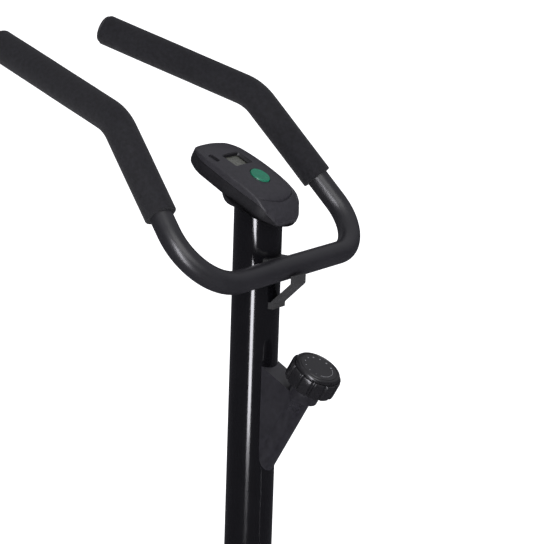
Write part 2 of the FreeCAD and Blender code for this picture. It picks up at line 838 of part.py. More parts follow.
def circuit_board():
    """Circuit board with the switch under the key."""
    low = -console_split - 4
    board = console_box(-32, 32, -20, 58, low, low + 1.6)
    switch = console_rod(0, 0, low + 1.6, -button_height - 1.5 - button_travel - body_gap, 3)
    stand = console_box(-16, 16, window_u - 11, window_u + 11, low + 1.6, -window_depth - 4.1)
    return fuse(board, switch, stand)


def batteries():
    """Two AAA cells across the lower shell."""
    cells = []
    for u in (38, 50):
        centre = console_frame(0, u, -console_depth + console_wall + 5.6)
        cells.append(fuse(cylinder(centre, X_AXIS, 5.2, 43.5), cylinder(centre, X_AXIS, 1.9, 45)))
    return cells


def console_screws():
    """Four screws from below that close the console."""
    screws = []
    for x, u in console_screw_places:
        shank = console_rod(x, u, -console_depth + 1, -window_depth - console_wall - 3, 1.5)
        head = console_rod(x, u, -console_depth - 0.6, -console_depth + 1.1, 3)
        screws.append(fuse(shank, head))
    return screws


# ---------------------------------------------------------------- housing

def house_body(inset):
    """The housing's outer form, or its inside when inset."""
    points = [V(-house_half, y, z) for y, z, _ in house_outline]
    wire = Part.Wire(rounded_edges(points, [r for _, _, r in house_outline], True))
    if inset:
        wire = wire.makeOffset2D(-inset)
    side = Part.Face(wire).extrude(V(2 * house_half, 0, 0))
    w, n = house_half - inset, house_neck_half - inset
    low, high = house_bottom - 10, house_top + 10
    front = plate_xz([(w, low, 0), (w, house_shoulder_low, 120), (n, house_shoulder_high, 120),
                      (n, high, 0), (-n, high, 0), (-n, house_shoulder_high, 120),
                      (-w, house_shoulder_low, 120), (-w, low, 0)], -400, 600)
    return side.common(front)


def house_cutters():
    """What passes through the housing."""
    heads = [cylinder(V(-house_half, y, z), X_AXIS, screw_head_r + seat_gap, 4 * house_wall)
             for y, z in house_screw_places]
    return heads + [cylinder(V(0, mast_y, house_top), Z_AXIS, mast_r + body_gap, 200),
            cylinder(V(0, crank_y, crank_z), X_AXIS, arm_boss_r + 9, 300),
            block(-fork_right_x - 3, fork_right_x + fork_plate + 1, crank_y - 24, fly_y + 60,
                  house_bottom - 20, house_bottom + house_wall + 1)]


def housing_half(side):
    """One moulded half of the housing, split in the middle plane."""
    outer = house_body(0)
    rim = [e for e in outer.Edges
           if abs(abs(e.CenterOfMass.x) - house_half) < 0.5 and e.BoundBox.XLength < 0.01]
    outer = outer.makeFillet(house_edge_r, rim)
    shell = outer.cut(house_body(house_wall))
    for cutter in house_cutters():
        shell = shell.cut(cutter)
    keep = block(0, 300, -400, 600, 0, 900) if side > 0 else block(-300, 0, -400, 600, 0, 900)
    half = shell.common(keep)
    return max(half.Solids, key=lambda s: s.Volume)


def mast_boot():
    """Soft collar that closes the housing round the mast."""
    z = house_top
    low = cylinder(V(0, mast_y, z + 3), Z_AXIS, house_neck_half - 3, 6)
    high = Part.makeCone(house_neck_half - 3, mast_r + 4, boot_height - 6, V(0, mast_y, z + 6), Z_AXIS)
    boot = fuse(low, high)
    return boot.cut(cylinder(V(0, mast_y, z), Z_AXIS, mast_r + seat_gap, 200))


def housing_screws():
    """Screws that close the two halves, driven from the left."""
    screws = []
    for y, z in house_screw_places:
        start = V(-house_half - 0.8, y, z)
        head = rod(start, X_AXIS, screw_head_r, 0.8 + house_wall)
        screws.append(head.cut(hex_head(start, X_AXIS, 4, 1.5)))
    return screws


# ---------------------------------------------------------------- crank set

def crank_bearings():
    """Ball bearings in the crank shell."""
    rings = []
    for side in (-1, 1):
        centre = V(side * (shell_half - bearing_width / 2), crank_y, crank_z)
        rings.append(ring(centre, X_AXIS, bearing_r - 0.02, axle_r + run_gap, bearing_width))
    return rings


def crank_axle():
    """Axle through both bearings, with the pulley's flange."""
    length = 2 * (arm_inner_x + arm_thickness)
    axle = cylinder(V(0, crank_y, crank_z), X_AXIS, axle_r, length)
    flange = rod(V(pulley_x + pulley_width, crank_y, crank_z), X_AXIS, 24, 4)
    return fuse(axle, flange)


def arm_heading(side):
    """Direction of a crank arm from the axle."""
    turn = math.radians(crank_angle)
    return V(0, side * math.cos(turn), side * math.sin(turn))


def arm_end(side):
    """Centre of the pedal's axle, in the middle of the arm's thickness."""
    x = side * (arm_inner_x + arm_thickness / 2)
    return V(x, crank_y, crank_z) + arm_heading(side) * crank_length


def crank_arms():
    """Left and right arm."""
    return [crank_arm(-1), crank_arm(1)]


def crank_arm(side):
    """Tapered arm with a boss at the axle and an eye at the pedal."""
    x0 = side * arm_inner_x
    start = V(x0, crank_y, crank_z)
    out = V(side, 0, 0)
    heading = arm_heading(side)
    across = heading.cross(out).normalize()
    end = start + heading * crank_length
    a, b = arm_boss_r - 4, arm_eye_r - 1
    points = [start + across * a, end + across * b, end - across * b, start - across * a]
    bar = Part.Face(Part.makePolygon(points + points[:1])).extrude(out * arm_thickness)
    boss = rod(start, out, arm_boss_r, arm_thickness)
    eye = rod(end, out, arm_eye_r, arm_thickness)
    arm = fuse(bar, boss, eye)
    rim = [e for e in arm.Edges if abs(abs(e.CenterOfMass.x) - arm_inner_x - arm_thickness) < 0.01
           and e.BoundBox.XLength < 0.01]
    arm = arm.makeFillet(3, rim)
    arm = arm.cut(cylinder(start, X_AXIS, axle_r, 4 * arm_thickness))
    return arm.cut(cylinder(end, X_AXIS, pedal_axle_r, 4 * arm_thickness))


def crank_caps():
    """Dust caps over the axle's ends."""
    caps = []
    for side in (-1, 1):
        start = V(side * (arm_inner_x + arm_thickness), crank_y, crank_z)
        cap = rod(start, V(side, 0, 0), 12, 3.5)
        caps.append(softened(cap, 1.5, lambda e, s=start: abs(e.CenterOfMass.x - s.x) > 3))
    return caps


def crank_covers():
    """Round covers and dust caps on both sides."""
    return [crank_disc(-1), crank_disc(1)] + crank_caps()


def crank_disc(side):
    """Round cover that turns with the arm over the hole in the housing."""
    start = V(side * disc_x, crank_y, crank_z)
    out = V(side, 0, 0)
    disc = rod(start, out, disc_r, disc_thickness)
    disc = softened(disc, 2.5, lambda e: abs(abs(e.CenterOfMass.x) - disc_x - disc_thickness) < 0.01)
    hub = rod(start, out, arm_boss_r + 4, arm_inner_x - disc_x)
    return fuse(disc, hub).cut(cylinder(start, X_AXIS, axle_r, 60))


def belt_loop(extra):
    """Outline of the belt's run round both pulleys, grown by extra."""
    big, small = pulley_r + extra, fly_pulley_r + extra
    dy, dz = fly_y - crank_y, fly_z - crank_z
    span = math.hypot(dy, dz)
    slope = math.atan2(dz, dy)
    spread = math.acos((big - small) / span)
    x = pulley_x + pulley_lip
    def at(cy, cz, radius, angle):
        return V(x, cy + radius * math.cos(angle), cz + radius * math.sin(angle))
    top, low = slope + spread, slope - spread
    a, b = at(crank_y, crank_z, big, top), at(crank_y, crank_z, big, low)
    c, d = at(fly_y, fly_z, small, low), at(fly_y, fly_z, small, top)
    edges = [Part.Arc(a, at(crank_y, crank_z, big, slope + math.pi), b).toShape(),
             Part.LineSegment(b, c).toShape(),
             Part.Arc(c, at(fly_y, fly_z, small, slope), d).toShape(),
             Part.LineSegment(d, a).toShape()]
    return Part.Face(Part.Wire(edges)).extrude(V(pulley_width - 2 * pulley_lip, 0, 0))


def belt():
    """Ribbed belt, a running gap clear of both pulleys."""
    band = belt_loop(0.3 + belt_thickness).cut(belt_loop(0.3))
    trim = block(pulley_x + pulley_lip + 0.3, pulley_x + pulley_width - pulley_lip - 0.3,
                 -300, 600, 0, 900)
    return band.common(trim)


def drive_pulley():
    """Large pulley on the axle's flange, with a web and lightening holes."""
    middle = pulley_x + pulley_width / 2
    centre = V(middle, crank_y, crank_z)
    rim = ring(centre, X_AXIS, pulley_r, pulley_r - 9, pulley_width)
    web = cylinder(centre, X_AXIS, pulley_r - 9, 5)
    hub = cylinder(centre, X_AXIS, 24, pulley_width)
    for k in range(6):
        turn = math.radians(60 * k)
        web = web.cut(cylinder(centre + V(0, 66 * math.cos(turn), 66 * math.sin(turn)), X_AXIS, 22, 20))
    lips = [rod(V(x, crank_y, crank_z), X_AXIS, pulley_r + lip_height, pulley_lip)
            for x in (pulley_x, pulley_x + pulley_width - pulley_lip)]
    lips = [lip.cut(cylinder(centre, X_AXIS, pulley_r - 9, 40)) for lip in lips]
    return fuse(rim, web, hub, *lips).cut(cylinder(centre, X_AXIS, axle_r, 60))


# ---------------------------------------------------------------- flywheel and brake

def flywheel():
    """Cast flywheel with a heavy rim and a bored hub."""
    centre = V(0, fly_y, fly_z)
    rim = ring(centre, X_AXIS, fly_r, fly_r - fly_rim, fly_width)
    web = cylinder(centre, X_AXIS, fly_r - fly_rim, 7)
    hub = rod(V(-fly_width / 2, fly_y, fly_z), X_AXIS, fly_hub_r, pulley_x + fly_width / 2)
    whole = fuse(rim, web, hub)
    bore = cylinder(centre, X_AXIS, fly_axle_r + 2, 200)
    for x in bearing_places():
        bore = bore.fuse(cylinder(V(x, fly_y, fly_z), X_AXIS, fly_bearing_r, fly_bearing_width))
    return whole.cut(bore)


def bearing_places():
    """Middle of each flywheel bearing along X."""
    return (-fly_width / 2 + fly_bearing_width / 2, pulley_x - fly_bearing_width / 2)


def flywheel_bearings():
    """Ball bearings pressed in the flywheel's hub."""
    return [ring(V(x, fly_y, fly_z), X_AXIS, fly_bearing_r - 0.02, fly_axle_r + run_gap, fly_bearing_width)
            for x in bearing_places()]


def flywheel_pulley():
    """Small pulley on the flywheel's hub."""
    centre = V(pulley_x + pulley_width / 2, fly_y, fly_z)
    body = cylinder(centre, X_AXIS, fly_pulley_r, pulley_width)
    lips = [rod(V(x, fly_y, fly_z), X_AXIS, fly_pulley_r + lip_height, pulley_lip)
            for x in (pulley_x, pulley_x + pulley_width - pulley_lip)]
    return fuse(body, *lips).cut(cylinder(centre, X_AXIS, fly_axle_r + 2, 60))


def flywheel_axle():
    """Fixed axle with a nut on each side of the fork."""
    left, right = fork_left_x - 10, fork_right_x + fork_plate + 2.5
    axle = rod(V(left, fly_y, fly_z), X_AXIS, fly_axle_r, right - left)
    nuts = [hex_head(V(fork_left_x, fly_y, fly_z), V(-1, 0, 0), 15, 7),
            hex_head(V(fork_right_x, fly_y, fly_z), V(-1, 0, 0), 15, 3)]
    return fuse(axle, *nuts)


def arc_band(inner, outer, start, end, x0, x1):
    """Part of a ring round the flywheel's axis, between two angles."""
    def at(radius, angle):
        turn = math.radians(angle)
        return V(x0, fly_y + radius * math.cos(turn), fly_z + radius * math.sin(turn))
    middle = (start + end) / 2
    edges = [Part.Arc(at(inner, start), at(inner, middle), at(inner, end)).toShape(),
             Part.LineSegment(at(inner, end), at(outer, end)).toShape(),
             Part.Arc(at(outer, end), at(outer, middle), at(outer, start)).toShape(),
             Part.LineSegment(at(outer, start), at(inner, start)).toShape()]
    return Part.Face(Part.Wire(edges)).extrude(V(x1 - x0, 0, 0))


def brake_arm():
    """Hinged steel arc that carries the magnets over the flywheel."""
    inner = fly_r + brake_gap + magnet_thickness
    arc = arc_band(inner, inner + brake_band, brake_start, brake_end, -14, 14)
    eye = cylinder(V(0, brake_pivot_y, brake_pivot_z), X_AXIS, 9, 28)
    return fuse(arc, eye).cut(cylinder(V(0, brake_pivot_y, brake_pivot_z), X_AXIS, 4 + run_gap, 60))


def brake_magnets():
    """Six block magnets under the arc."""
    inner = fly_r + brake_gap
    return [arc_band(inner, inner + magnet_thickness - seat_gap, a, a + 7.5, -11, 11)
            for a in (64, 74, 84, 94, 104, 114)]


def brake_bracket():
    """Ears on the post, the pin that the brake hangs on and the stop for the cable."""
    ears = []
    for side in (-1, 1):
        x0, x1 = sorted((side * 14.4, side * 18.4))
        outline = [(mast_y, brake_pivot_z - 20, 0), (brake_pivot_y, brake_pivot_z - 10, 8),
                   (brake_pivot_y + 9, brake_pivot_z, 8), (brake_pivot_y, brake_pivot_z + 12, 8),
                   (mast_y + cable_stop + 8, cable_end_z, 0), (mast_y, cable_end_z, 0)]
        ears.append(plate_yz(outline, x0, x1))
    pin = cylinder(V(0, brake_pivot_y, brake_pivot_z), X_AXIS, 4, 44)
    stop = block(-18.4, 18.4, mast_y + cable_stop - 8, mast_y + cable_stop + 8, cable_end_z - 4, cable_end_z)
    whole = fuse(ears[0], ears[1], pin, stop)
    return whole.cut(cylinder(V(0, mast_y, brake_pivot_z), Z_AXIS, post_r + seat_gap, 400))


def speed_sensor():
    """Reed switch on a clip beside the pulley, and its wire inside the post and the mast."""
    switch = block(19, 30, crank_y - 12, crank_y + 12, crank_z - 78, crank_z - 66)
    clip = block(18 + seat_gap, 20, crank_y - 12, crank_y + 12, crank_z - 84, crank_z - 60)
    reach = (post_r - post_wall - wire_r - seat_gap) / math.sqrt(2)
    low = V(reach, mast_y + reach, post_top - 60)
    wire = rod(low, Z_AXIS, wire_r, bar_height + mast_top_over_bar - 4 - low.z)
    return [fuse(switch, clip), wire]


# ---------------------------------------------------------------- pedals

def pedal_centre(side):
    """Middle of the pedal's platform."""
    reach = arm_thickness / 2 + pedal_gap + pedal_width / 2
    return arm_end(side) + V(side * reach, 0, 0)


def pedal_axles():
    """Left and right spindle."""
    return [pedal_axle(-1), pedal_axle(1)]


def pedal_axle(side):
    """Spindle screwed in the crank arm."""
    start = arm_end(side) - V(side * arm_thickness / 2, 0, 0)
    length = arm_thickness + pedal_gap + pedal_width - 8
    spindle = rod(start, V(side, 0, 0), pedal_axle_r, length)
    nut = hex_head(start + V(side * arm_thickness, 0, 0), V(side, 0, 0), 15, 6)
    return fuse(spindle, nut)


def pedal(side):
    """Platform pedal: tube, side walls and tread bars."""
    c = pedal_centre(side)
    half_x, half_y, half_z = pedal_width / 2, pedal_half_length, pedal_half_height
    frame = block(c.x - half_x, c.x + half_x, c.y - half_y, c.y + half_y, c.z - half_z, c.z + half_z)
    frame = softened(frame, 8, lambda e: e.BoundBox.ZLength > half_z)
    for k in (-1, 1):
        y0, y1 = sorted((c.y + k * 16, c.y + k * (half_y - 8)))
        for m in (-1, 0, 1):
            x = c.x + m * 30
            frame = frame.cut(block(x - 12, x + 12, y0, y1, c.z - 40, c.z + 40))
    for end in (-1, 1):
        y = c.y + end * (half_y - 4)
        frame = frame.cut(block(c.x - strap_width / 2 - 0.5, c.x + strap_width / 2 + 0.5, y - 1.6, y + 1.6,
                                c.z - half_z - 1, c.z + half_z + 1))
    hollow = cylinder(c, X_AXIS, pedal_axle_r + run_gap, pedal_width - 16)
    inner = rod(V(c.x - side * half_x, c.y, c.z), V(side, 0, 0), pedal_axle_r + run_gap, 30)
    return frame.cut(hollow).cut(inner)


def pedal_strap(side):
    """Strap that arches over the platform between its two slots."""
    c = pedal_centre(side)
    y_out = pedal_half_length - 4
    low, top = c.z - pedal_half_height + 2, c.z + strap_rise
    points = [V(c.x, c.y - y_out, low), V(c.x, c.y - y_out, c.z + 26), V(c.x, c.y - 22, top),
              V(c.x, c.y + 22, top), V(c.x, c.y + y_out, c.z + 26), V(c.x, c.y + y_out, low)]
    def band(extra):
        moved = [V(p.x - strap_width / 2, c.y + (p.y - c.y) * (1 + extra / 40.0),
                   p.z + (extra if p.z > c.z + 30 else 0)) for p in points]
        return rounded_edges(moved, [0, 30, 24, 24, 30, 0], False)
    outer, inner = Part.Wire(band(strap_thickness / 2)), Part.Wire(band(-strap_thickness / 2))
    ends = [Part.LineSegment(outer.OrderedVertexes[0].Point, inner.OrderedVertexes[0].Point).toShape(),
            Part.LineSegment(outer.OrderedVertexes[-1].Point, inner.OrderedVertexes[-1].Point).toShape()]
    loop = Part.Wire(Part.__sortEdges__(outer.Edges + inner.Edges + ends))
    return Part.Face(loop).extrude(V(strap_width, 0, 0))


# ---------------------------------------------------------------- seat

def seat_bush():
    """Plastic sleeve in the mouth of the seat tube."""
    foot, up = seat_axis()
    top = foot + up * seat_tube_length
    sleeve = rod(top - up * 38, up, seat_tube_r - seat_tube_wall, 38)
    flange = rod(top, up, seat_tube_r + 1.5, 5)
    return fuse(sleeve, flange).cut(rod(top - up * 60, up, seat_post_r + run_gap, 90))


def seat_post():
    """Sliding tube with its row of setting holes."""
    foot, up = seat_axis()
    start = foot + up * seat_post_low
    post = pipe_straight(start, up, seat_post_r, seat_post_r - seat_post_wall, seat_post_length)
    back = V(0, -math.cos(math.radians(seat_lean)), -math.sin(math.radians(seat_lean)))
    for k in range(seat_hole_count):
        along = seat_pin_up - seat_hole_pitch * k
        if along > seat_post_low + 10:
            post = post.cut(rod(seat_point(along), back, seat_hole_r, 60))
    return post


def back_heading():
    """Direction out of the back of the seat tube."""
    lean = math.radians(seat_lean)
    return V(0, -math.cos(lean), -math.sin(lean))


def seat_pin():
    """Pull pin, drawn back clear of the post, with its knob."""
    back = back_heading()
    start = seat_point(seat_pin_up) + back * (seat_post_r + body_gap)
    pin = rod(start, back, seat_pin_r, 42)
    knob_start = seat_point(seat_pin_up) + back * (seat_tube_r + 12 + body_gap)
    knob = rod(knob_start, back, 17, 22)
    knob = softened(knob, 5, lambda e: (e.CenterOfMass - knob_start).dot(back) > 21)
    for k in range(6):
        turn = math.radians(60 * k)
        out = X_AXIS * math.cos(turn) + back.cross(X_AXIS).normalize() * math.sin(turn)
        knob = knob.cut(rod(knob_start + out * 20, back, 5.5, 23))
    return fuse(pin, knob)


def saddle_origin():
    """Top of the seat post."""
    return seat_point(seat_post_low + seat_post_length)


def saddle_clamp():
    """Clamp between the post and the saddle, with its cross bolt."""
    top = saddle_origin()
    foot, up = seat_axis()
    fit_r = seat_post_r + seat_gap
    collar = rod(top - up * 30, up, seat_post_r + 5, 24).cut(rod(top - up * 40, up, fit_r, 60))
    cap = block(-26, 26, top.y - 24, top.y + 24, top.z + 5, top.z + 5 + clamp_height - 12)
    throat = rod(top - up * 8, up, seat_post_r + 5, 18).cut(rod(top - up * 20, up, fit_r, 20.4))
    bolt = cylinder(V(0, top.y, top.z + 12), X_AXIS, 5, 68)
    return fuse(collar, throat, cap, bolt).cut(rod(top - up * 40, up, fit_r, 40.4))


def saddle_outline(inset, centre_y):
    """Plan outline of the saddle, from the rear edge to the nose."""
    w, n = saddle_half_rear - inset, saddle_half_nose - inset
    rear, nose = centre_y - saddle_back + inset, centre_y - saddle_back + saddle_length - inset
    return [(n, nose, n * 0.95), (n + 6, centre_y + 50, 90), (w, centre_y - 28, 42), (w - 14, rear, 44),
            (-w + 14, rear, 44), (-w, centre_y - 28, 42), (-n - 6, centre_y + 50, 90), (-n, nose, n * 0.95)]


def saddle_pan():
    """Moulded pan under the cushion."""
    top = saddle_origin()
    low = top.z + 5 + clamp_height - 12
    pan = plate_xy(saddle_outline(8, top.y), low, low + pan_thickness)
    return pan


def saddle_cushion():
    """Foam cushion with its cover."""
    top = saddle_origin()
    low = top.z + 5 + clamp_height - 12 + pan_thickness
    pad = plate_xy(saddle_outline(0, top.y), low, low + cushion_thickness)
    edges = [e for e in pad.Edges if abs(e.CenterOfMass.z - low - cushion_thickness) < 0.01
             and e.BoundBox.ZLength < 0.01]
    return pad.makeFillet(18, edges)


NODES = {
    "base_beam": base_beam,
    "stabilisers": stabilisers,
    "stabiliser_bolts": stabiliser_bolts,
    "end_caps": end_caps,
    "floor_pads": floor_pads,
    "wheel_pins": wheel_pins,
    "transport_wheel_left": lambda: transport_wheel(-1),
    "transport_wheel_right": lambda: transport_wheel(1),
    "seat_tube": seat_tube,
    "front_post": front_post,
    "crank_support": crank_support,
    "flywheel_fork": flywheel_fork,
    "mast": mast,
    "mast_bolts": mast_bolts,
    "handlebar": handlebar,
    "handlebar_brackets": handlebar_brackets,
    "grip_left": lambda: grip(-1),
    "grip_right": lambda: grip(1),
    "handlebar_plugs": bar_plugs,
    "tension_bracket": tension_bracket,
    "tension_knob": tension_knob,
    "tension_spindle": tension_spindle,
    "tension_cable": tension_cable,
    "console_upper": console_upper,
    "console_lower": console_lower,
    "console_lens": lens,
    "console_display": lcd,
    "console_button": console_button,
    "circuit_board": circuit_board,
    "batteries": batteries,
    "console_screws": console_screws,
    "housing_left": lambda: housing_half(-1),
    "housing_right": lambda: housing_half(1),
    "housing_screws": housing_screws,
    "mast_boot": mast_boot,
    "crank_bearings": crank_bearings,
    "crank_axle": crank_axle,
    "crank_arms": crank_arms,
    "crank_covers": crank_covers,
    "drive_pulley": drive_pulley,
    "belt": belt,
    "flywheel": flywheel,
    "flywheel_bearings": flywheel_bearings,
    "flywheel_pulley": flywheel_pulley,
    "flywheel_axle": flywheel_axle,
    "brake_arm": brake_arm,
    "brake_magnets": brake_magnets,
    "brake_bracket": brake_bracket,
    "speed_sensor": speed_sensor,
    "pedal_axles": pedal_axles,
    "pedal_left": lambda: pedal(-1),
    "pedal_right": lambda: pedal(1),
    "pedal_strap_left": lambda: pedal_strap(-1),
    "pedal_strap_right": lambda: pedal_strap(1),
    "seat_bush": seat_bush,
    "seat_post": seat_post,
    "seat_pin": seat_pin,
    "saddle_clamp": saddle_clamp,
    "saddle_pan": saddle_pan,
    "saddle_cushion": saddle_cushion,
}


def main():
    """Writes one STEP file for each node."""
    os.makedirs("parts", exist_ok=True)
    for name, make in NODES.items():
        shape = make()
        solids = shape if isinstance(shape, list) else shape.Solids
        whole = solids[0] if len(solids) == 1 else Part.makeCompound(solids)
        if not solids or not whole.isValid():
            raise ValueError(f"{name} has no valid solid")
        whole.exportStep(f"parts/{name}.step")


if __name__ == "__main__":
    main()
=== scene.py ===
"""Looks of an exercise bike, built round its fixed frame of CAD parts.

Sizes in the classes' fields are in millimetres. Everything in the scene is in metres.
"""

import json
import logging
import math
from collections.abc import Callable, Iterable, Sequence
from dataclasses import dataclass, field
from enum import Enum

import bmesh
import bpy
from mathutils import Matrix, Vector, noise

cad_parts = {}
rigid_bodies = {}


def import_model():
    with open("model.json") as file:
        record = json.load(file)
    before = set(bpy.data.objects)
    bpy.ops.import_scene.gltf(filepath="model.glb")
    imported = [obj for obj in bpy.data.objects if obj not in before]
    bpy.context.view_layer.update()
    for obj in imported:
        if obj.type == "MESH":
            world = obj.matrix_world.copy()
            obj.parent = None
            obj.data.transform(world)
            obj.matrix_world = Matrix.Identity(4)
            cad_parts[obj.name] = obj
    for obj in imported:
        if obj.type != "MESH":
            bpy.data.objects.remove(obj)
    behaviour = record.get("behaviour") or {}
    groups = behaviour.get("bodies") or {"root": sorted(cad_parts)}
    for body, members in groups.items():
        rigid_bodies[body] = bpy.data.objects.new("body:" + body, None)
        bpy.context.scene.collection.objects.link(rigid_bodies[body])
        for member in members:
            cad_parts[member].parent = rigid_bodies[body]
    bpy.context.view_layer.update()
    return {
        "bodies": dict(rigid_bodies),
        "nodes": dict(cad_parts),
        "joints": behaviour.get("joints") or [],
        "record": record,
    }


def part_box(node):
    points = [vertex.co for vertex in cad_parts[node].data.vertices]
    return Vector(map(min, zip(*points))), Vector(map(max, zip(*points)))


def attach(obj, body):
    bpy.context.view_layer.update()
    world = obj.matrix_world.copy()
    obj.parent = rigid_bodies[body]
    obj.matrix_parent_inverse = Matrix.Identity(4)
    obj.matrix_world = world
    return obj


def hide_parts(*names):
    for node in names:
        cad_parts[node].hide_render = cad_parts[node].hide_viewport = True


LOG = logging.getLogger("exercise_bike")
MM = 0.001
UP = Vector((0.0, 0.0, 1.0))
SQUARE = ((1, -1), (1, 1), (-1, 1), (-1, -1))
Loop = list[Vector]
Skin = tuple[Loop, list[tuple[int, ...]]]
Triple = tuple[float, float, float]
Piece = bpy.types.Object
Socket = bpy.types.NodeSocket


# --- finishes

class Grain(Enum):
    """How a surface is broken up close by."""

    SPARK = "spark eroded mould"
    PEEL = "sprayed and baked paint"
    CELLS = "open foam cells"
    HIDE = "embossed vinyl"
    DRAWN = "turned or drawn metal"
    CAST = "sand casting"


class Graph:
    """The node tree of one material, with short calls for the nodes it needs."""

    def __init__(self, name: str) -> None:
        """Start a material.

        Args:
            name: the material's name.
        """
        self.material = bpy.data.materials.new(name)
        self.material.use_nodes = True
        self.tree = self.material.node_tree
        self.shader = self.tree.nodes["Principled BSDF"]

    def node(self, kind: str, **settings: object) -> bpy.types.Node:
        """Add a node.

        Args:
            kind: the node's type without its ShaderNode prefix.
            **settings: properties set on the node.

        Returns:
            The node.
        """
        made = self.tree.nodes.new("ShaderNode" + kind)
        for key, value in settings.items():
            setattr(made, key, value)
        return made

    def link(self, source: Socket, target: Socket) -> None:
        """Join an output to an input."""
        self.tree.links.new(source, target)

    def place(self, stretch: Sequence[float] = (1, 1, 1)) -> Socket:
        """Coordinates fixed to the piece.

        Args:
            stretch: scale along each axis.

        Returns:
            The vector socket.
        """
        where = self.node("TexCoord")
        mapping = self.node("Mapping")
        mapping.inputs["Scale"].default_value = stretch
        self.link(where.outputs["Object"], mapping.inputs["Vector"])
        return mapping.outputs["Vector"]

    def noise(self, scale: float, detail: float, stretch: Sequence[float] = (1, 1, 1)) -> Socket:
        """Soft noise.

        Args:
            scale: bumps per metre.
            detail: octaves.
            stretch: scale along each axis.

        Returns:
            The factor socket.
        """
        made = self.node("TexNoise")
        made.inputs["Scale"].default_value = scale
        made.inputs["Detail"].default_value = detail
        self.link(self.place(stretch), made.inputs["Vector"])
        return made.outputs["Fac"]

    def cells(self, scale: float) -> Socket:
        """Distance to the nearest cell's middle.

        Args:
            scale: cells per metre.

        Returns:
            The distance socket.
        """
        made = self.node("TexVoronoi")
        made.inputs["Scale"].default_value = scale
        self.link(self.place(), made.inputs["Vector"])
        return made.outputs["Distance"]

    def spread(self, value: Socket, low: float, high: float) -> Socket:
        """Bring a factor to the range from low to high.

        Args:
            value: a factor around one half.
            low: result at 0.3.
            high: result at 0.7.

        Returns:
            The result socket.
        """
        made = self.node("MapRange")
        made.inputs["From Min"].default_value = 0.3
        made.inputs["From Max"].default_value = 0.7
        made.inputs["To Min"].default_value = low
        made.inputs["To Max"].default_value = high
        self.link(value, made.inputs["Value"])
        return made.outputs["Result"]

    def blend(self, value: Socket, first: Sequence[float], second: Sequence[float]) -> Socket:
        """Colour between two others.

        Args:
            value: a factor around one half.
            first: colour at the low end.
            second: colour at the high end.

        Returns:
            The colour socket.
        """
        ramp = self.node("ValToRGB")
        ramp.color_ramp.elements[0].position = 0.3
        ramp.color_ramp.elements[1].position = 0.7
        ramp.color_ramp.elements[0].color = (*first, 1)
        ramp.color_ramp.elements[1].color = (*second, 1)
        self.link(value, ramp.inputs["Fac"])
        return ramp.outputs["Color"]

    def bump(self, height: Socket, depth: float) -> Socket:
        """Small relief.

        Args:
            height: the relief's factor.
            depth: its depth in millimetres.

        Returns:
            The normal socket.
        """
        made = self.node("Bump")
        made.inputs["Distance"].default_value = depth * MM
        self.link(height, made.inputs["Height"])
        return made.outputs["Normal"]

    def set(self, **values: object) -> None:
        """Set constant values on the shader, with underscores for the blanks in their names."""
        for key, value in values.items():
            self.shader.inputs[key.replace("_", " ")].default_value = value


@dataclass(frozen=True)
class Finish:
    """A surface: colour, gloss and close relief."""

    name: str
    colour: Triple
    grain: Grain
    roughness: float = 0.5
    vary: float = 0.06
    shade: float = 0.25
    fine: float = 2400.0
    depth: float = 0.02
    metallic: float = 0.0
    coat: float = 0.0
    sheen: float = 0.0
    gloss: float = 0.5

    def relief(self, graph: Graph) -> Socket:
        """Choose the relief for the grain.

        Args:
            graph: the material's graph.

        Returns:
            The height socket.
        """
        if self.grain in (Grain.CELLS, Grain.HIDE):
            return graph.cells(self.fine)
        if self.grain is Grain.DRAWN:
            return graph.noise(self.fine, 2.0, (1.0, 1.0, 0.04))
        if self.grain is Grain.PEEL:
            return graph.noise(self.fine, 0.0)
        return graph.noise(self.fine, 4.0)

    def material(self) -> bpy.types.Material:
        """Make the material, or give the one made before.

        Returns:
            The material.
        """
        ready = bpy.data.materials.get(self.name)
        if ready is not None and ready.get("finish"):
            return ready
        graph = Graph(self.name)
        broad = graph.noise(18.0, 4.0)
        close = graph.noise(self.fine * 0.12, 3.0)
        dark = tuple(c * (1 - self.shade) for c in self.colour)
        light = tuple(min(1.0, c * (1 + self.shade)) for c in self.colour)
        graph.link(graph.blend(close, dark, light), graph.shader.inputs["Base Color"])
        rough = graph.spread(broad, self.roughness - self.vary, self.roughness + self.vary)
        graph.link(rough, graph.shader.inputs["Roughness"])
        graph.link(graph.bump(self.relief(graph), self.depth), graph.shader.inputs["Normal"])
        graph.set(Metallic=self.metallic, Coat_Weight=self.coat, Coat_Roughness=0.06,
                  Sheen_Weight=self.sheen, Sheen_Roughness=0.5, Specular_IOR_Level=self.gloss)
        graph.material["finish"] = True
        return graph.material


@dataclass(frozen=True)
class DisplayGlass:
    """Grey liquid crystal, a little cloudy."""

    name: str = "display_glass"
    colour: Triple = (0.21, 0.215, 0.19)

    def material(self) -> bpy.types.Material:
        """Make the material.

        Returns:
            The material.
        """
        graph = Graph(self.name)
        cloudy = graph.noise(60.0, 2.0)
        darker = tuple(c * 0.9 for c in self.colour)
        graph.link(graph.blend(cloudy, darker, self.colour), graph.shader.inputs["Base Color"])
        graph.link(graph.spread(cloudy, 0.25, 0.32), graph.shader.inputs["Roughness"])
        return graph.material


@dataclass(frozen=True)
class ClearWindow:
    """Thin clear window."""

    name: str = "clear_window"

    def material(self) -> bpy.types.Material:
        """Make the material.

        Returns:
            The material.
        """
        graph = Graph(self.name)
        haze = graph.noise(300.0, 2.0)
        graph.link(graph.spread(haze, 0.04, 0.09), graph.shader.inputs["Roughness"])
        pale = graph.blend(haze, (0.10, 0.10, 0.09), (0.13, 0.13, 0.12))
        graph.link(pale, graph.shader.inputs["Base Color"])
        graph.set(Alpha=0.12)
        return graph.material


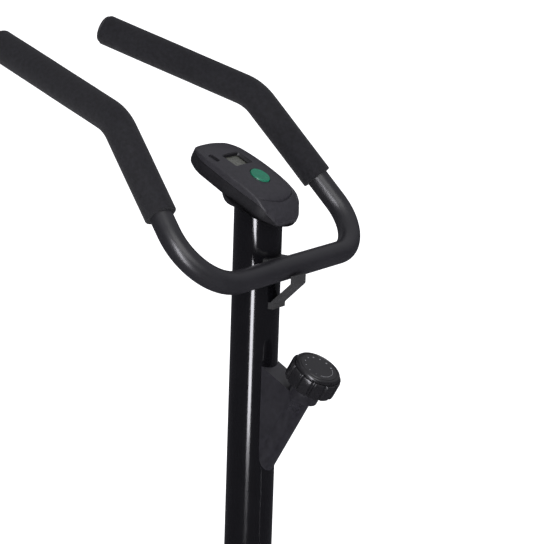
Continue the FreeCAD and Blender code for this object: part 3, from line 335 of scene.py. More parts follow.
GLOSS_BLACK = Finish("gloss_black_paint", (0.0052, 0.0050, 0.0064), Grain.PEEL, 0.13, 0.02, 0.1, 260.0,
                     0.0015, coat=0.2)
# Lighter copy of the black frame paint for the handlebar brackets: its extra lightness is painted reflection.
STRUT_BLACK_PAINTED_REFLECTION = Finish("strut_black_paint_painted_reflection", (0.042, 0.042, 0.044), Grain.PEEL, 0.4, 0.04, 0.15, 300.0, 0.002)
BAR_BLACK = Finish("bar_black_paint", (0.0165, 0.0160, 0.0195), Grain.PEEL, 0.36, 0.03, 0.1, 300.0, 0.0015)
SATIN_BLACK = Finish("satin_black_paint", (0.012, 0.012, 0.014), Grain.PEEL, 0.38, 0.05, 0.2, 900.0, 0.008)
INNER_GREY = Finish("inner_grey_paint", (0.05, 0.05, 0.055), Grain.PEEL, 0.5, 0.06, 0.2, 800.0, 0.01)
ZINC = Finish("bright_zinc", (0.55, 0.56, 0.58), Grain.DRAWN, 0.3, 0.1, 0.1, 2200.0, 0.004, metallic=1.0)
STEEL = Finish("polished_steel", (0.62, 0.62, 0.63), Grain.DRAWN, 0.18, 0.06, 0.06, 2400.0, 0.003,
               metallic=1.0)
NICKEL = Finish("nickel_plate", (0.6, 0.58, 0.54), Grain.DRAWN, 0.25, 0.06, 0.08, 2400.0, 0.003, metallic=1.0)
IRON = Finish("machined_iron", (0.23, 0.23, 0.24), Grain.CAST, 0.45, 0.1, 0.25, 900.0, 0.03, metallic=1.0)
NYLON = Finish("matt_nylon", (0.035, 0.035, 0.038), Grain.SPARK, 0.55, 0.06, 0.2, 1800.0, 0.01)
MOULDED = Finish("textured_moulding", (0.0225, 0.0215, 0.0255), Grain.SPARK, 0.52, 0.05, 0.3, 1500.0, 0.05)
BRACKET = Finish("bracket_moulding", (0.0165, 0.0155, 0.0205), Grain.SPARK, 0.31, 0.05, 0.3, 1500.0, 0.03,
                 gloss=0.95)
KNOB = Finish("knob_moulding", (0.0115, 0.011, 0.013), Grain.SPARK, 0.29, 0.06, 0.2, 2200.0, 0.012)
HOUSING = Finish("housing_moulding", (0.019, 0.019, 0.022), Grain.SPARK, 0.44, 0.06, 0.25, 1300.0, 0.04)
FACE = Finish("console_face_moulding", (0.0245, 0.0232, 0.0295), Grain.SPARK, 0.5, 0.04, 0.2, 1900.0, 0.025)
TRAY = Finish("console_tray_moulding", (0.0085, 0.008, 0.0105), Grain.SPARK, 0.46, 0.05, 0.25, 1900.0, 0.025)
GREEN = Finish("green_key", (0.010, 0.205, 0.115), Grain.SPARK, 0.42, 0.04, 0.12, 2200.0, 0.01)
RUBBER = Finish("floor_rubber", (0.016, 0.016, 0.017), Grain.SPARK, 0.75, 0.06, 0.3, 1400.0, 0.04)
FOAM = Finish("grip_foam", (0.0092, 0.0088, 0.0122), Grain.CELLS, 0.82, 0.06, 0.35, 1700.0, 0.10,
              sheen=0.08, gloss=0.3)
STRAP = Finish("strap_rubber", (0.02, 0.02, 0.021), Grain.SPARK, 0.6, 0.06, 0.25, 1500.0, 0.03)
PEDAL = Finish("pedal_moulding", (0.022, 0.022, 0.024), Grain.SPARK, 0.5, 0.06, 0.25, 1300.0, 0.05)
VINYL = Finish("saddle_vinyl", (0.016, 0.0155, 0.018), Grain.HIDE, 0.46, 0.07, 0.3, 620.0, 0.14, gloss=0.4)
PIPING = Finish("saddle_piping", (0.024, 0.024, 0.027), Grain.HIDE, 0.5, 0.06, 0.2, 900.0, 0.06)
MARKS = Finish("pale_marks", (0.30, 0.30, 0.32), Grain.SPARK, 0.5, 0.05, 0.1, 2200.0, 0.004)
BOARD = Finish("circuit_laminate", (0.01, 0.12, 0.035), Grain.SPARK, 0.4, 0.05, 0.2, 1500.0, 0.01)
JACKET = Finish("battery_jacket", (0.05, 0.052, 0.06), Grain.SPARK, 0.35, 0.05, 0.2, 1200.0, 0.005)
BELTING = Finish("belt_rubber", (0.014, 0.014, 0.014), Grain.SPARK, 0.7, 0.05, 0.2, 1500.0, 0.03)

SLOT_FINISHES = {
    "frame_paint": GLOSS_BLACK, "inner_paint": INNER_GREY, "zinc_steel": ZINC, "polished_steel": STEEL,
    "black_steel": SATIN_BLACK, "magnet_nickel": NICKEL, "cast_iron": IRON, "pulley_plastic": NYLON,
    "moulded_black": MOULDED, "knob_plastic": KNOB, "housing_plastic": HOUSING, "console_shell": FACE,
    "console_base": TRAY, "button_green": GREEN, "lens_clear": ClearWindow(), "display_grey": DisplayGlass(),
    "circuit_green": BOARD, "battery_jacket": JACKET, "sensor_black": NYLON, "cable_sheath": BELTING,
    "belt_rubber": BELTING, "foam": FOAM, "pad_rubber": RUBBER, "pedal_plastic": PEDAL,
    "strap_rubber": STRAP, "saddle_shell": MOULDED, "saddle_cover": VINYL,
}


# --- shapes

def smoothstep(low: float, high: float, value: float) -> float:
    """Rise smoothly from 0 at low to 1 at high.

    Args:
        low: where the rise starts.
        high: where it ends.
        value: the place asked for.

    Returns:
        A factor from 0 to 1.
    """
    t = min(1.0, max(0.0, (value - low) / (high - low)))
    return t * t * (3 - 2 * t)


def curve_through(knots: Sequence[tuple[float, float]], at: float) -> float:
    """Height of a smooth line through some points.

    Args:
        knots: (place, height) pairs in rising order of place.
        at: the place asked for.

    Returns:
        The height there.
    """
    at = min(max(at, knots[0][0]), knots[-1][0])
    i = max(k for k in range(len(knots) - 1) if knots[k][0] <= at or k == 0)
    (x0, y0), (x1, y1) = knots[i], knots[i + 1]

    def slope(k: int) -> float:
        """Slope at knot k."""
        a, b = knots[max(k - 1, 0)], knots[min(k + 1, len(knots) - 1)]
        return (b[1] - a[1]) / (b[0] - a[0])

    h = x1 - x0
    t = (at - x0) / h
    m0, m1 = slope(i) * h, slope(i + 1) * h
    return ((2 * t**3 - 3 * t**2 + 1) * y0 + (t**3 - 2 * t**2 + t) * m0
            + (-2 * t**3 + 3 * t**2) * y1 + (t**3 - t**2) * m1)


def rounded_path(points: Sequence[Vector], radii: Sequence[float], closed: bool, step: float = 6.0) -> Loop:
    """Corner points joined by straight runs and tangent arcs.

    Args:
        points: the corners.
        radii: the bend radius at each corner, 0 for a sharp one.
        closed: whether the last corner joins the first.
        step: degrees between two points on an arc.

    Returns:
        The path's points.
    """
    path: Loop = []
    count = len(points)
    for i, (corner, radius) in enumerate(zip(points, radii)):
        if radius == 0 or (not closed and i in (0, count - 1)):
            path.append(corner.copy())
            continue
        back = (points[i - 1] - corner).normalized()
        ahead = (points[(i + 1) % count] - corner).normalized()
        half = back.angle(ahead) / 2
        centre = corner + (back + ahead).normalized() * (radius / math.sin(half))
        start = corner + back * (radius / math.tan(half))
        sweep = math.pi - 2 * half
        axis = (start - centre).cross(-back).normalized()
        steps = max(2, round(math.degrees(sweep) / step))
        for k in range(steps + 1):
            turn = Matrix.Rotation(sweep * k / steps, 3, axis)
            path.append(centre + turn @ (start - centre))
    return path


def evenly(path: Sequence[Vector], count: int, closed: bool) -> Loop:
    """The same path with evenly spaced points.

    Args:
        path: the path's points.
        count: how many points to give back.
        closed: whether the last point joins the first.

    Returns:
        The new points.
    """
    ring = list(path) + ([path[0]] if closed else [])
    reach = [0.0]
    for a, b in zip(ring, ring[1:]):
        reach.append(reach[-1] + (b - a).length)
    spaced: Loop = []
    k = 0
    for i in range(count):
        want = reach[-1] * i / (count if closed else count - 1)
        while k < len(ring) - 2 and reach[k + 1] < want:
            k += 1
        span = reach[k + 1] - reach[k]
        spaced.append(ring[k].lerp(ring[k + 1], (want - reach[k]) / span if span else 0.0))
    return spaced


def add_piece(name: str, vertices: Iterable[Vector], faces: Iterable[Sequence[int]], finish: Finish,
              crease: float = 32.0) -> Piece:
    """Make a smooth shaded object out of vertices and faces.

    Args:
        name: the piece's name.
        vertices: places in metres.
        faces: vertex numbers of each face.
        finish: its finish.
        crease: angle in degrees above which an edge stays sharp.

    Returns:
        The object.
    """
    mesh = bpy.data.meshes.new(name)
    mesh.from_pydata([tuple(v) for v in vertices], [], [tuple(f) for f in faces])
    body = bmesh.new()
    body.from_mesh(mesh)
    bmesh.ops.remove_doubles(body, verts=body.verts, dist=1e-6)
    bmesh.ops.recalc_face_normals(body, faces=body.faces)
    body.to_mesh(mesh)
    body.free()
    mesh.shade_smooth()
    mesh.set_sharp_from_angle(angle=math.radians(crease))
    piece = bpy.data.objects.new(name, mesh)
    bpy.context.scene.collection.objects.link(piece)
    mesh.materials.append(finish.material())
    return piece


def loft(rings: Sequence[Sequence[Vector]], closed: bool = False) -> Skin:
    """Skin over a row of rings with the same number of points.

    Args:
        rings: the rings, first to last.
        closed: True if the last ring joins the first, otherwise both ends are capped.

    Returns:
        The vertices and the faces.
    """
    size = len(rings[0])
    vertices = [point for ring in rings for point in ring]
    faces: list[tuple[int, ...]] = []
    for r in range(len(rings) if closed else len(rings) - 1):
        after = (r + 1) % len(rings)
        for k in range(size):
            n = (k + 1) % size
            faces.append((r * size + k, r * size + n, after * size + n, after * size + k))
    if not closed:
        faces.append(tuple(range(size)))
        faces.append(tuple(reversed(range((len(rings) - 1) * size, len(rings) * size))))
    return vertices, faces


def heading_at(path: Sequence[Vector], i: int, closed: bool = False) -> Vector:
    """Direction of a path at one of its points.

    Args:
        path: the path's points.
        i: the point's number.
        closed: whether the last point joins the first.

    Returns:
        The unit direction.
    """
    if closed:
        return (path[(i + 1) % len(path)] - path[i - 1]).normalized()
    return (path[min(i + 1, len(path) - 1)] - path[max(i - 1, 0)]).normalized()


def around(side: Vector, over: Vector, a: float) -> Vector:
    """Direction at an angle between two others.

    Args:
        side: where the angle is 0.
        over: where it is a quarter turn.
        a: the angle in radians.

    Returns:
        The direction.
    """
    return side * math.cos(a) + over * math.sin(a)


def hand(side: int) -> str:
    """The word for a side.

    Args:
        side: 1 is right, -1 is left.

    Returns:
        The word.
    """
    return "right" if side > 0 else "left"


def frames_along(path: Sequence[Vector]) -> list[tuple[Vector, Vector]]:
    """Two steady directions across a path at each of its points.

    Args:
        path: the path's points.

    Returns:
        (side, over) at each point.
    """
    result = []
    heading = (path[1] - path[0]).normalized()
    side = heading.orthogonal().normalized()
    for i in range(len(path)):
        ahead = heading_at(path, i)
        side = heading.rotation_difference(ahead) @ side
        heading = ahead
        side = (side - heading * side.dot(heading)).normalized()
        result.append((side, heading.cross(side)))
    return result


def sweep(path: Sequence[Vector], section: Callable[[int, float], float], count: int = 48) -> list[Loop]:
    """Round rings along a path.

    Args:
        path: the path's points.
        section: radius at point i and angle a.
        count: points round each ring.

    Returns:
        The rings.
    """
    rings = []
    for i, (point, (side, over)) in enumerate(zip(path, frames_along(path))):
        ring = []
        for k in range(count):
            a = 2 * math.pi * k / count
            ring.append(point + around(side, over, a) * section(i, a))
        rings.append(ring)
    return rings


def turned(centre: Vector, axis: Vector, profile: Sequence[tuple[float, float]], count: int = 96,
           lobes: Callable[[float, float, float], float] | None = None) -> list[Loop]:
    """Rings of a turned shape.

    Args:
        centre: where the axis starts.
        axis: its direction.
        profile: (radius, height) pairs.
        count: points round each ring.
        lobes: takes radius, height and angle, and gives the radius there.

    Returns:
        The rings.
    """
    side = UP.cross(axis)
    side = side.normalized() if side.length > 1e-6 else Vector((1.0, 0.0, 0.0))
    over = axis.cross(side).normalized()
    rings = []
    for radius, height in profile:
        ring = []
        for k in range(count):
            a = 2 * math.pi * k / count
            r = lobes(radius, height, a) if lobes else radius
            ring.append((centre + axis * height + around(side, over, a) * r) * MM)
        rings.append(ring)
    return rings


def apply_modifiers(piece: Piece) -> None:
    """Turn what a piece's modifiers make into its own mesh.

    Args:
        piece: what is changed.
    """
    graph = bpy.context.evaluated_depsgraph_get()
    mesh = bpy.data.meshes.new_from_object(piece.evaluated_get(graph))
    piece.modifiers.clear()
    piece.data = mesh


def cut_away(piece: Piece, cutters: Sequence[Piece], crease: float = 32.0) -> None:
    """Cut closed shapes out of a piece and remove them.

    Args:
        piece: what is cut.
        cutters: closed shapes, removed at the end.
        crease: angle in degrees above which an edge stays sharp.
    """
    for cutter in cutters:
        cut = piece.modifiers.new("cut", "BOOLEAN")
        cut.operation = "DIFFERENCE"
        cut.solver = "EXACT"
        cut.object = cutter
    bpy.context.view_layer.update()
    apply_modifiers(piece)
    piece.data.shade_smooth()
    piece.data.set_sharp_from_angle(angle=math.radians(crease))
    for cutter in cutters:
        bpy.data.objects.remove(cutter)


def settle(piece: Piece, body: str, slot: str, *nodes: str) -> Piece:
    """Let a piece ride on a body and stand for CAD nodes.

    Args:
        piece: the new piece.
        body: the body's name.
        slot: the material slot in the record; not used.
        *nodes: CAD nodes that it replaces.

    Returns:
        The piece.
    """
    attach(piece, body)
    if nodes:
        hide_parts(*nodes)
    LOG.info("%s rides on %s, replaces %s", piece.name, body, ", ".join(nodes) or "nothing")
    return piece


# --- frame parts

@dataclass
class CadDressing:
    """The metal and moulded parts that keep their CAD shape."""

    nodes: dict[str, Piece]
    edge_breaks: dict[str, float] = field(default_factory=lambda: {
        "tension_bracket": 1.6, "handlebar_brackets": 0.7, "housing_left": 1.0, "housing_right": 1.0,
        "mast_boot": 1.2, "base_beam": 1.0, "pedal_left": 1.2, "pedal_right": 1.2, "end_caps": 1.0,
        "saddle_pan": 2.5, "saddle_clamp": 0.8, "crank_arms": 0.8, "floor_pads": 0.5, "seat_bush": 0.6})
    # The handlebar brackets take the lighter copy of the black paint, whose extra lightness is painted
    # reflection.
    own_finishes: dict[str, Finish] = field(default_factory=lambda: {
        "handlebar": BAR_BLACK, "handlebar_brackets": STRUT_BLACK_PAINTED_REFLECTION, "tension_bracket": BRACKET})

    def finish_for(self, name: str, node: Piece) -> Finish:
        """Choose a node's finish by its material slot.

        Args:
            name: the node's name.
            node: its object.

        Returns:
            The finish.
        """
        if name in self.own_finishes:
            return self.own_finishes[name]
        slot_name = node.data.materials[0].name.split(".")[0]
        return SLOT_FINISHES[slot_name]

    def break_edges(self, node: Piece, width: float) -> None:
        """Round a node's sharp edges with modifiers.

        Args:
            node: the node's object.
            width: the width of the break.
        """
        weld = node.modifiers.new("weld", "WELD")
        weld.merge_threshold = 2e-5
        bevel = node.modifiers.new("edge", "BEVEL")
        bevel.width = width * MM
        bevel.segments = 2
        bevel.limit_method = "ANGLE"
        bevel.angle_limit = math.radians(40)
        bevel.harden_normals = False
        bevel.use_clamp_overlap = True

    def dress(self) -> None:
        """Give every node its material and the chosen ones their broken edges."""
        for name, node in self.nodes.items():
            material = self.finish_for(name, node).material()
            for holder in node.material_slots:
                holder.material = material
            if name in self.edge_breaks:
                self.break_edges(node, self.edge_breaks[name])
        LOG.info("dressed %d frame nodes", len(self.nodes))


# --- handlebar grips

@dataclass
class FoamGrip:
    """Foam sleeve over one horn of the handlebar."""

    side: int
    corner: Triple = (186.0, 115.5, 980.0)
    knee: Triple = (144.7, 270.6, 1160.6)
    heading: Triple = (-0.1753, 1.0, 0.3066)
    tip_length: float = 225.0
    start_share: float = 0.443
    bend: float = 60.0
    outer: float = 20.0
    bore: float = 14.4
    edge: float = 1.2
    spacing: float = 3.0

    def mirrored(self, point: Sequence[float]) -> Vector:
        """A point of the right horn on this grip's side."""
        return Vector((self.side * point[0], point[1], point[2]))

    def path(self) -> Loop:
        """The sleeve's axis.

        Returns:
            Points in metres.
        """
        corner, knee = self.mirrored(self.corner), self.mirrored(self.knee)
        tip = knee + self.mirrored(self.heading).normalized() * self.tip_length
        low = corner.lerp(knee, self.start_share)
        rough = rounded_path([low, knee, tip], [0, self.bend, 0], False, 3.0)
        length = sum((b - a).length for a, b in zip(rough, rough[1:]))
        return [p * MM for p in evenly(rough, round(length / self.spacing), False)]

    def build(self) -> Piece:
        """Make the sleeve.

        Returns:
            The sleeve.
        """
        path = self.path()
        last = len(path) - 1
        seed = Vector((7.0 * self.side, 3.0, 5.0))

        def outside(i: int, a: float) -> float:
            """Outer radius, a little uneven as cut foam is."""
            lump = noise.noise(seed + path[i] * 22 + Vector((math.cos(a), math.sin(a), 0)) * 0.6)
            return (self.outer - 0.15 + 0.15 * lump) * MM

        skin = sweep(path, outside)
        hole = sweep(path, lambda i, a: self.bore * MM)
        lip = self.edge / (self.outer - self.bore)

        def ends(i: int, inward: Vector) -> tuple[Loop, Loop]:
            """Rounded corner ring and flat face ring at one end."""
            soft = [a.lerp(b, lip * 0.3) + inward * (self.edge * 0.3 * MM) for a, b in zip(skin[i], hole[i])]
            flat = [a.lerp(b, lip) for a, b in zip(skin[i], hole[i])]
            return soft, flat

        start_in = (path[1] - path[0]).normalized()
        end_in = (path[-2] - path[-1]).normalized()
        start_soft, start_flat = ends(0, start_in)
        end_soft, end_flat = ends(last, end_in)
        first = [p + start_in * (self.edge * MM) for p in skin[0]]
        final = [p + end_in * (self.edge * MM) for p in skin[last]]
        rings = [hole[0], start_flat, start_soft, first, *skin[1:-1],
                 final, end_soft, end_flat, *reversed(hole[1:])]
        piece = add_piece("foam_grip_" + hand(self.side), *loft(rings, closed=True), FOAM, 50.0)
        settle(piece, "frame", "foam", "grip_" + hand(self.side))
        return piece


# --- console

@dataclass
class Console:
    """Small tilted computer head: face, tray, neck, key and window."""

    origin: Triple = (0.0, 159.3, 1088.6)
    tilt: float = 27.0
    middle: tuple[float, float] = (0.0, 12.0)
    plan: tuple[Triple, ...] = (
        (22, -63, 20), (40, -43, 26), (42.5, 12, 150), (41, 62, 40), (27, 87, 22))
    spine: tuple[tuple[float, float], ...] = (
        (-62, -27.0), (-58, -21.0), (-50, -14.3), (-42, -8.6), (-34, -4.2), (-22, -1.5), (-8, -0.1), (8, 0.3),
        (30, 0.0), (48, -0.9), (62, -2.4), (74, -5.6), (82, -9.4), (88, -14.0))
    crown: float = 4.6
    crown_at: float = 38.0
    split: float = -13.0
    floor: float = -31.0
    wall: float = 2.2
    rim: float = 2.0
    seam: float = 0.35
    points: int = 260
    rings: int = 100
    groove_depth: float = 1.6
    groove_half: float = 1.05
    fin_height: float = 1.3
    fin_end: float = -46.5
    window: tuple[float, float, float, float] = (38.0, 17.7, 12.7, 5.0)    # place, half sizes, depth
    slot: tuple[float, float, float, float, float] = (-31.0, 51.0, 3.2, 7.5, -6.8)
    slot_corner: float = 1.8
    window_corner: float = 3.0
    above: float = 8.0      # cutters start over the face
    below: float = -30.0
    key_radius: float = 13.0
    key_gap: float = 0.9
    key_height: float = 1.6
    neck_axis_y: float = 160.0
    neck_profile: tuple[tuple[float, float], ...] = (
        (30.3, 1053.0), (32.6, 1052.0), (36.0, 1052.6), (39.0, 1054.2), (41.8, 1057.0), (44.0, 1061.5),
        (45.4, 1067.0), (46.0, 1074.0), (46.0, 1082.0), (30.3, 1082.0))
    mast_clearance_radius: float = 31.0
    border: list[tuple[Vector, Vector]] = field(default_factory=list)

    def __post_init__(self) -> None:
        """Work out the plan outline and the way in from each of its points."""
        half = list(self.plan)
        corners = half + [(-x, u, r) for x, u, r in reversed(half)]
        path = rounded_path([Vector((x, u, 0)) for x, u, _ in corners], [r for _, _, r in corners], True, 4.0)
        full = evenly(path, self.points, True)
        for i, point in enumerate(full):
            along = heading_at(full, i, closed=True)
            self.border.append((point, Vector((-along.y, along.x, 0))))

    def place(self, x: float, u: float, n: float) -> Vector:
        """A point given across, along and above the face.

        Args:
            x: to the right.
            u: up along the face.
            n: out of the face.

        Returns:
            The point in metres.
        """
        lean = math.radians(self.tilt)
        y = self.origin[1] + u * math.cos(lean) - n * math.sin(lean)
        z = self.origin[2] + u * math.sin(lean) + n * math.cos(lean)
        return Vector((self.origin[0] + x, y, z)) * MM

    def normal(self) -> Vector:
        """Direction out of the face."""
        lean = math.radians(self.tilt)
        return Vector((0.0, -math.sin(lean), math.cos(lean)))

    def outline(self, inset: float) -> Loop:
        """Plan outline, evenly spaced.

        Args:
            inset: how far inside the full outline.

        Returns:
            Points whose x and y are across and along the face.
        """
        return [point + inward * inset for point, inward in self.border]

    def groove(self, x: float, u: float) -> float:
        """Depth of the panel line at a point of the face."""
        line = -42.0 + (x / 36.0) ** 2 * 11.0
        tilt = math.hypot(1.0, 2 * x / 36.0**2 * 11.0)
        away = abs(u - line) / tilt
        reach = 1 - smoothstep(35.5, 37.0, abs(x))
        return self.groove_depth * reach * (1 - smoothstep(self.groove_half * 0.4, self.groove_half, away))

    def fin(self, x: float, u: float, edge: float) -> float:
        """Height of the side wall's lip over the face.

        Args:
            x: across the face.
            u: along the face.
            edge: distance from the outline.

        Returns:
            The rise in millimetres.
        """
        side = smoothstep(24.0, 30.0, abs(x)) * smoothstep(self.fin_end - 0.7, self.fin_end + 0.7, u)
        fade = 1 - smoothstep(20.0, 62.0, u) * 0.55
        lip = 1 - smoothstep(4.2, 5.6, edge)
        return self.fin_height * side * fade * lip

    def top(self, x: float, u: float, edge: float) -> float:
        """Height of the face.

        Args:
            x: across the face.
            u: along the face.
            edge: distance from the outline.

        Returns:
            The height over the key's middle.
        """
        level = curve_through(self.spine, u) - self.crown * (abs(x) / self.crown_at) ** 2.2
        return level - self.groove(x, u) + self.fin(x, u, edge)

    def ring_at(self, inset: float, share: float) -> Loop:
        """One ring of the face, between its middle and its outline.

        Args:
            inset: distance of the outermost ring from the outline.
            share: 0 at the middle, 1 at that ring.

        Returns:
            Points with x, u and the distance from the outline.
        """
        cx, cu = self.middle
        ring = []
        for point in self.outline(inset):
            radial = Vector((point.x - cx, point.y - cu, 0))
            edge = inset + radial.length * (1 - share)
            ring.append(Vector((cx + radial.x * share, cu + radial.y * share, edge)))
        return ring

    def lid(self, point: Vector) -> float:
        """Level at which the face meets the tray, at a point of the outline."""
        level = self.top(point.x, point.y, self.rim) - self.rim
        return max(self.floor + 1.6, min(self.split, level - 0.4))

    def build_face(self) -> Piece:
        """Top shell: crowned face with its panel line, lips, window recess and key bore.

        Returns:
            The shell.
        """
        rows = []
        for r in range(1, self.rings + 1):
            ring = self.ring_at(self.rim, r / self.rings)
            rows.append([self.place(p.x, p.y, self.top(p.x, p.y, p.z)) for p in ring])
        edge_level = [self.top(p.x, p.y, self.rim) for p in self.outline(self.rim)]
        for k in range(1, 6):
            a = math.pi / 2 * k / 5
            ring = self.outline(self.rim * (1 - math.sin(a)))
            drop = self.rim * (1 - math.cos(a))
            rows.append([self.place(p.x, p.y, max(level - drop, self.lid(q) + 0.2))
                         for p, q, level in zip(ring, self.outline(0), edge_level)])
        lids = [self.lid(p) for p in self.outline(0)]
        for inset in (0.0, self.wall):
            rows.append([self.place(p.x, p.y, lid) for p, lid in zip(self.outline(inset), lids)])
        for share in (1.0, 0.8, 0.55, 0.3, 0.1):
            ring = self.ring_at(self.wall + 1.5, share)
            levels = [max(self.top(p.x, p.y, 9.0) - self.wall - 1.4, self.floor + 3.0) for p in ring]
            rows.append([self.place(p.x, p.y, level) for p, level in zip(ring, levels)])
        face = add_piece("console_face", *loft(rows), FACE, 38.0)
        u, half_x, half_u, _ = self.window
        cutters = [self.box_cutter(0.0, u, half_x, half_u, self.below, self.window_corner),
                   self.round_cutter(self.key_radius + self.key_gap),
                   self.box_cutter(*self.slot, self.slot_corner)]
        cut_away(face, cutters, 38.0)
        return settle(face, "frame", "console_shell", "console_upper")

    def rectangle(self, x: float, u: float, half_x: float, half_u: float, corner: float) -> Loop:
        """Outline with four rounded corners, in the face's plane.

        Args:
            x: its middle across.
            u: its middle along.
            half_x: half its width.
            half_u: half its length.
            corner: corner radius.

        Returns:
            Points whose x and y are across and along the face.
        """
        corners = [Vector((x + a * half_x, u + b * half_u, 0)) for a, b in SQUARE]
        return rounded_path(corners, [corner] * 4, True, 15.0)

    def box_cutter(self, x: float, u: float, half_x: float, half_u: float, low: float,
                   corner: float) -> Piece:
        """Upright block with rounded corners, to cut with.

        Args:
            x: its middle across.
            u: its middle along.
            half_x: half its width.
            half_u: half its length.
            low: bottom height.
            corner: corner radius.

        Returns:
            The block.
        """
        shape = self.rectangle(x, u, half_x, half_u, corner)
        rings = [[self.place(p.x, p.y, n) for p in shape] for n in (low, self.above)]
        return add_piece("cutter", *loft(rings), FACE)

    def round_cutter(self, radius: float) -> Piece:
        """Upright disc about the key's axis, to cut with.

        Args:
            radius: of the disc.

        Returns:
            The disc.
        """
        ends = [(radius, self.below), (radius, self.above)]
        return add_piece("cutter", *loft(turned(Vector(self.origin), self.normal(), ends, 72)), FACE)

    def build_bezel(self) -> Piece:
        """Dark frame between the window's walls and the glass.

        Returns:
            The frame.
        """
        u, half_x, half_u, depth = self.window

        def ring(grow: float, n: float) -> Loop:
            """One ring of the frame."""
            shape = evenly(self.rectangle(0.0, u, half_x + grow, half_u + grow, 2.0), 64, True)
            return [self.place(p.x, p.y, n) for p in shape]

        rings = [ring(-0.25, -1.6), ring(-0.25, -depth + 0.2), ring(-2.4, -depth + 0.2),
                 ring(-1.9, -3.4), ring(-1.2, -1.9)]
        bezel = add_piece("window_frame", *loft(rings, closed=True), TRAY)
        return settle(bezel, "frame", "console_base")

    def bottom_ring(self, inset: float, share: float, level: float) -> Loop:
        """A ring of the tray's flat bottom, drawn in towards its middle.

        Args:
            inset: how far inside the full outline it starts.
            share: 0 at the middle, 1 at that outline.
            level: its height.

        Returns:
            Points in metres.
        """
        cx, cu = self.middle
        return [self.place(cx + (p.x - cx) * share, cu + (p.y - cu) * share, level)
                for p in self.outline(inset)]

    def build_tray(self) -> Piece:
        """Bottom shell with a rounded underside.

        Returns:
            The tray.
        """
        steps = [(0.0, 0.0), (0.0, 0.4), (0.4, 0.68), (1.4, 0.86), (3.4, 0.97), (6.5, 1.0)]
        lids = [self.lid(p) - self.seam for p in self.outline(0)]
        rows = [[self.place(p.x, p.y, lid) for p, lid in zip(self.outline(self.wall), lids)]]
        for inset, share in steps:
            rows.append([self.place(p.x, p.y, lid + (self.floor - lid) * share)
                         for p, lid in zip(self.outline(inset), lids)])
        rows += [self.bottom_ring(7.0, share, self.floor) for share in (0.7, 0.35, 0.05)]
        rows += [self.bottom_ring(7.5, share, self.floor + self.wall) for share in (0.05, 0.5, 1.0)]
        inside = self.outline(self.wall + 0.4)
        rows.append([self.place(p.x, p.y, min(-24.0, lid - 0.3)) for p, lid in zip(inside, lids)])
        tray = add_piece("console_tray", *loft(rows, closed=True), TRAY, 38.0)
        settle(tray, "frame", "console_base", "console_lower")
        ends = [(self.mast_clearance_radius, 0.0), (self.mast_clearance_radius, 84.0)]
        core = turned(Vector((0.0, self.neck_axis_y, 1000.0)), UP, ends, 72)
        cut_away(tray, [add_piece("cutter", *loft(core), TRAY)], 38.0)
        return tray

    def build_neck(self) -> Piece:
        """Flared neck that slips over the mast.

        Returns:
            The neck.
        """
        rings = turned(Vector((0.0, self.neck_axis_y, 0.0)), UP, self.neck_profile, 96)
        normal = self.normal()
        ceiling = self.place(0.0, 0.0, self.floor + 1.0)
        for ring in rings:
            for point in ring:
                point.z -= max(0.0, (point - ceiling).dot(normal)) / normal.z
        neck = add_piece("console_neck", *loft(rings, closed=True), TRAY, 40.0)
        return settle(neck, "frame", "console_base")

    def build_key(self) -> Piece:
        """Green key with a dished top.

        Returns:
            The key.
        """
        r, top = self.key_radius, self.key_height
        profile = [(0.6, top - 0.55), (5.5, top - 0.5), (9.4, top - 0.3), (10.6, top - 0.05), (11.4, top),
                   (12.2, top - 0.15), (r - 0.25, top - 0.6), (r, top - 1.3), (r, -8.0),
                   (r + 2.5, -8.0), (r + 2.5, -10.4), (0.6, -10.4)]
        rings = turned(Vector(self.origin), self.normal(), profile, 72)
        key = add_piece("green_key", *loft(rings), GREEN, 40.0)
        return settle(key, "key", "button_green", "console_button")

    def build(self) -> None:
        """Make every piece of the console."""
        self.build_face()
        self.build_bezel()
        self.build_tray()
        self.build_neck()
        self.build_key()


# --- tension control

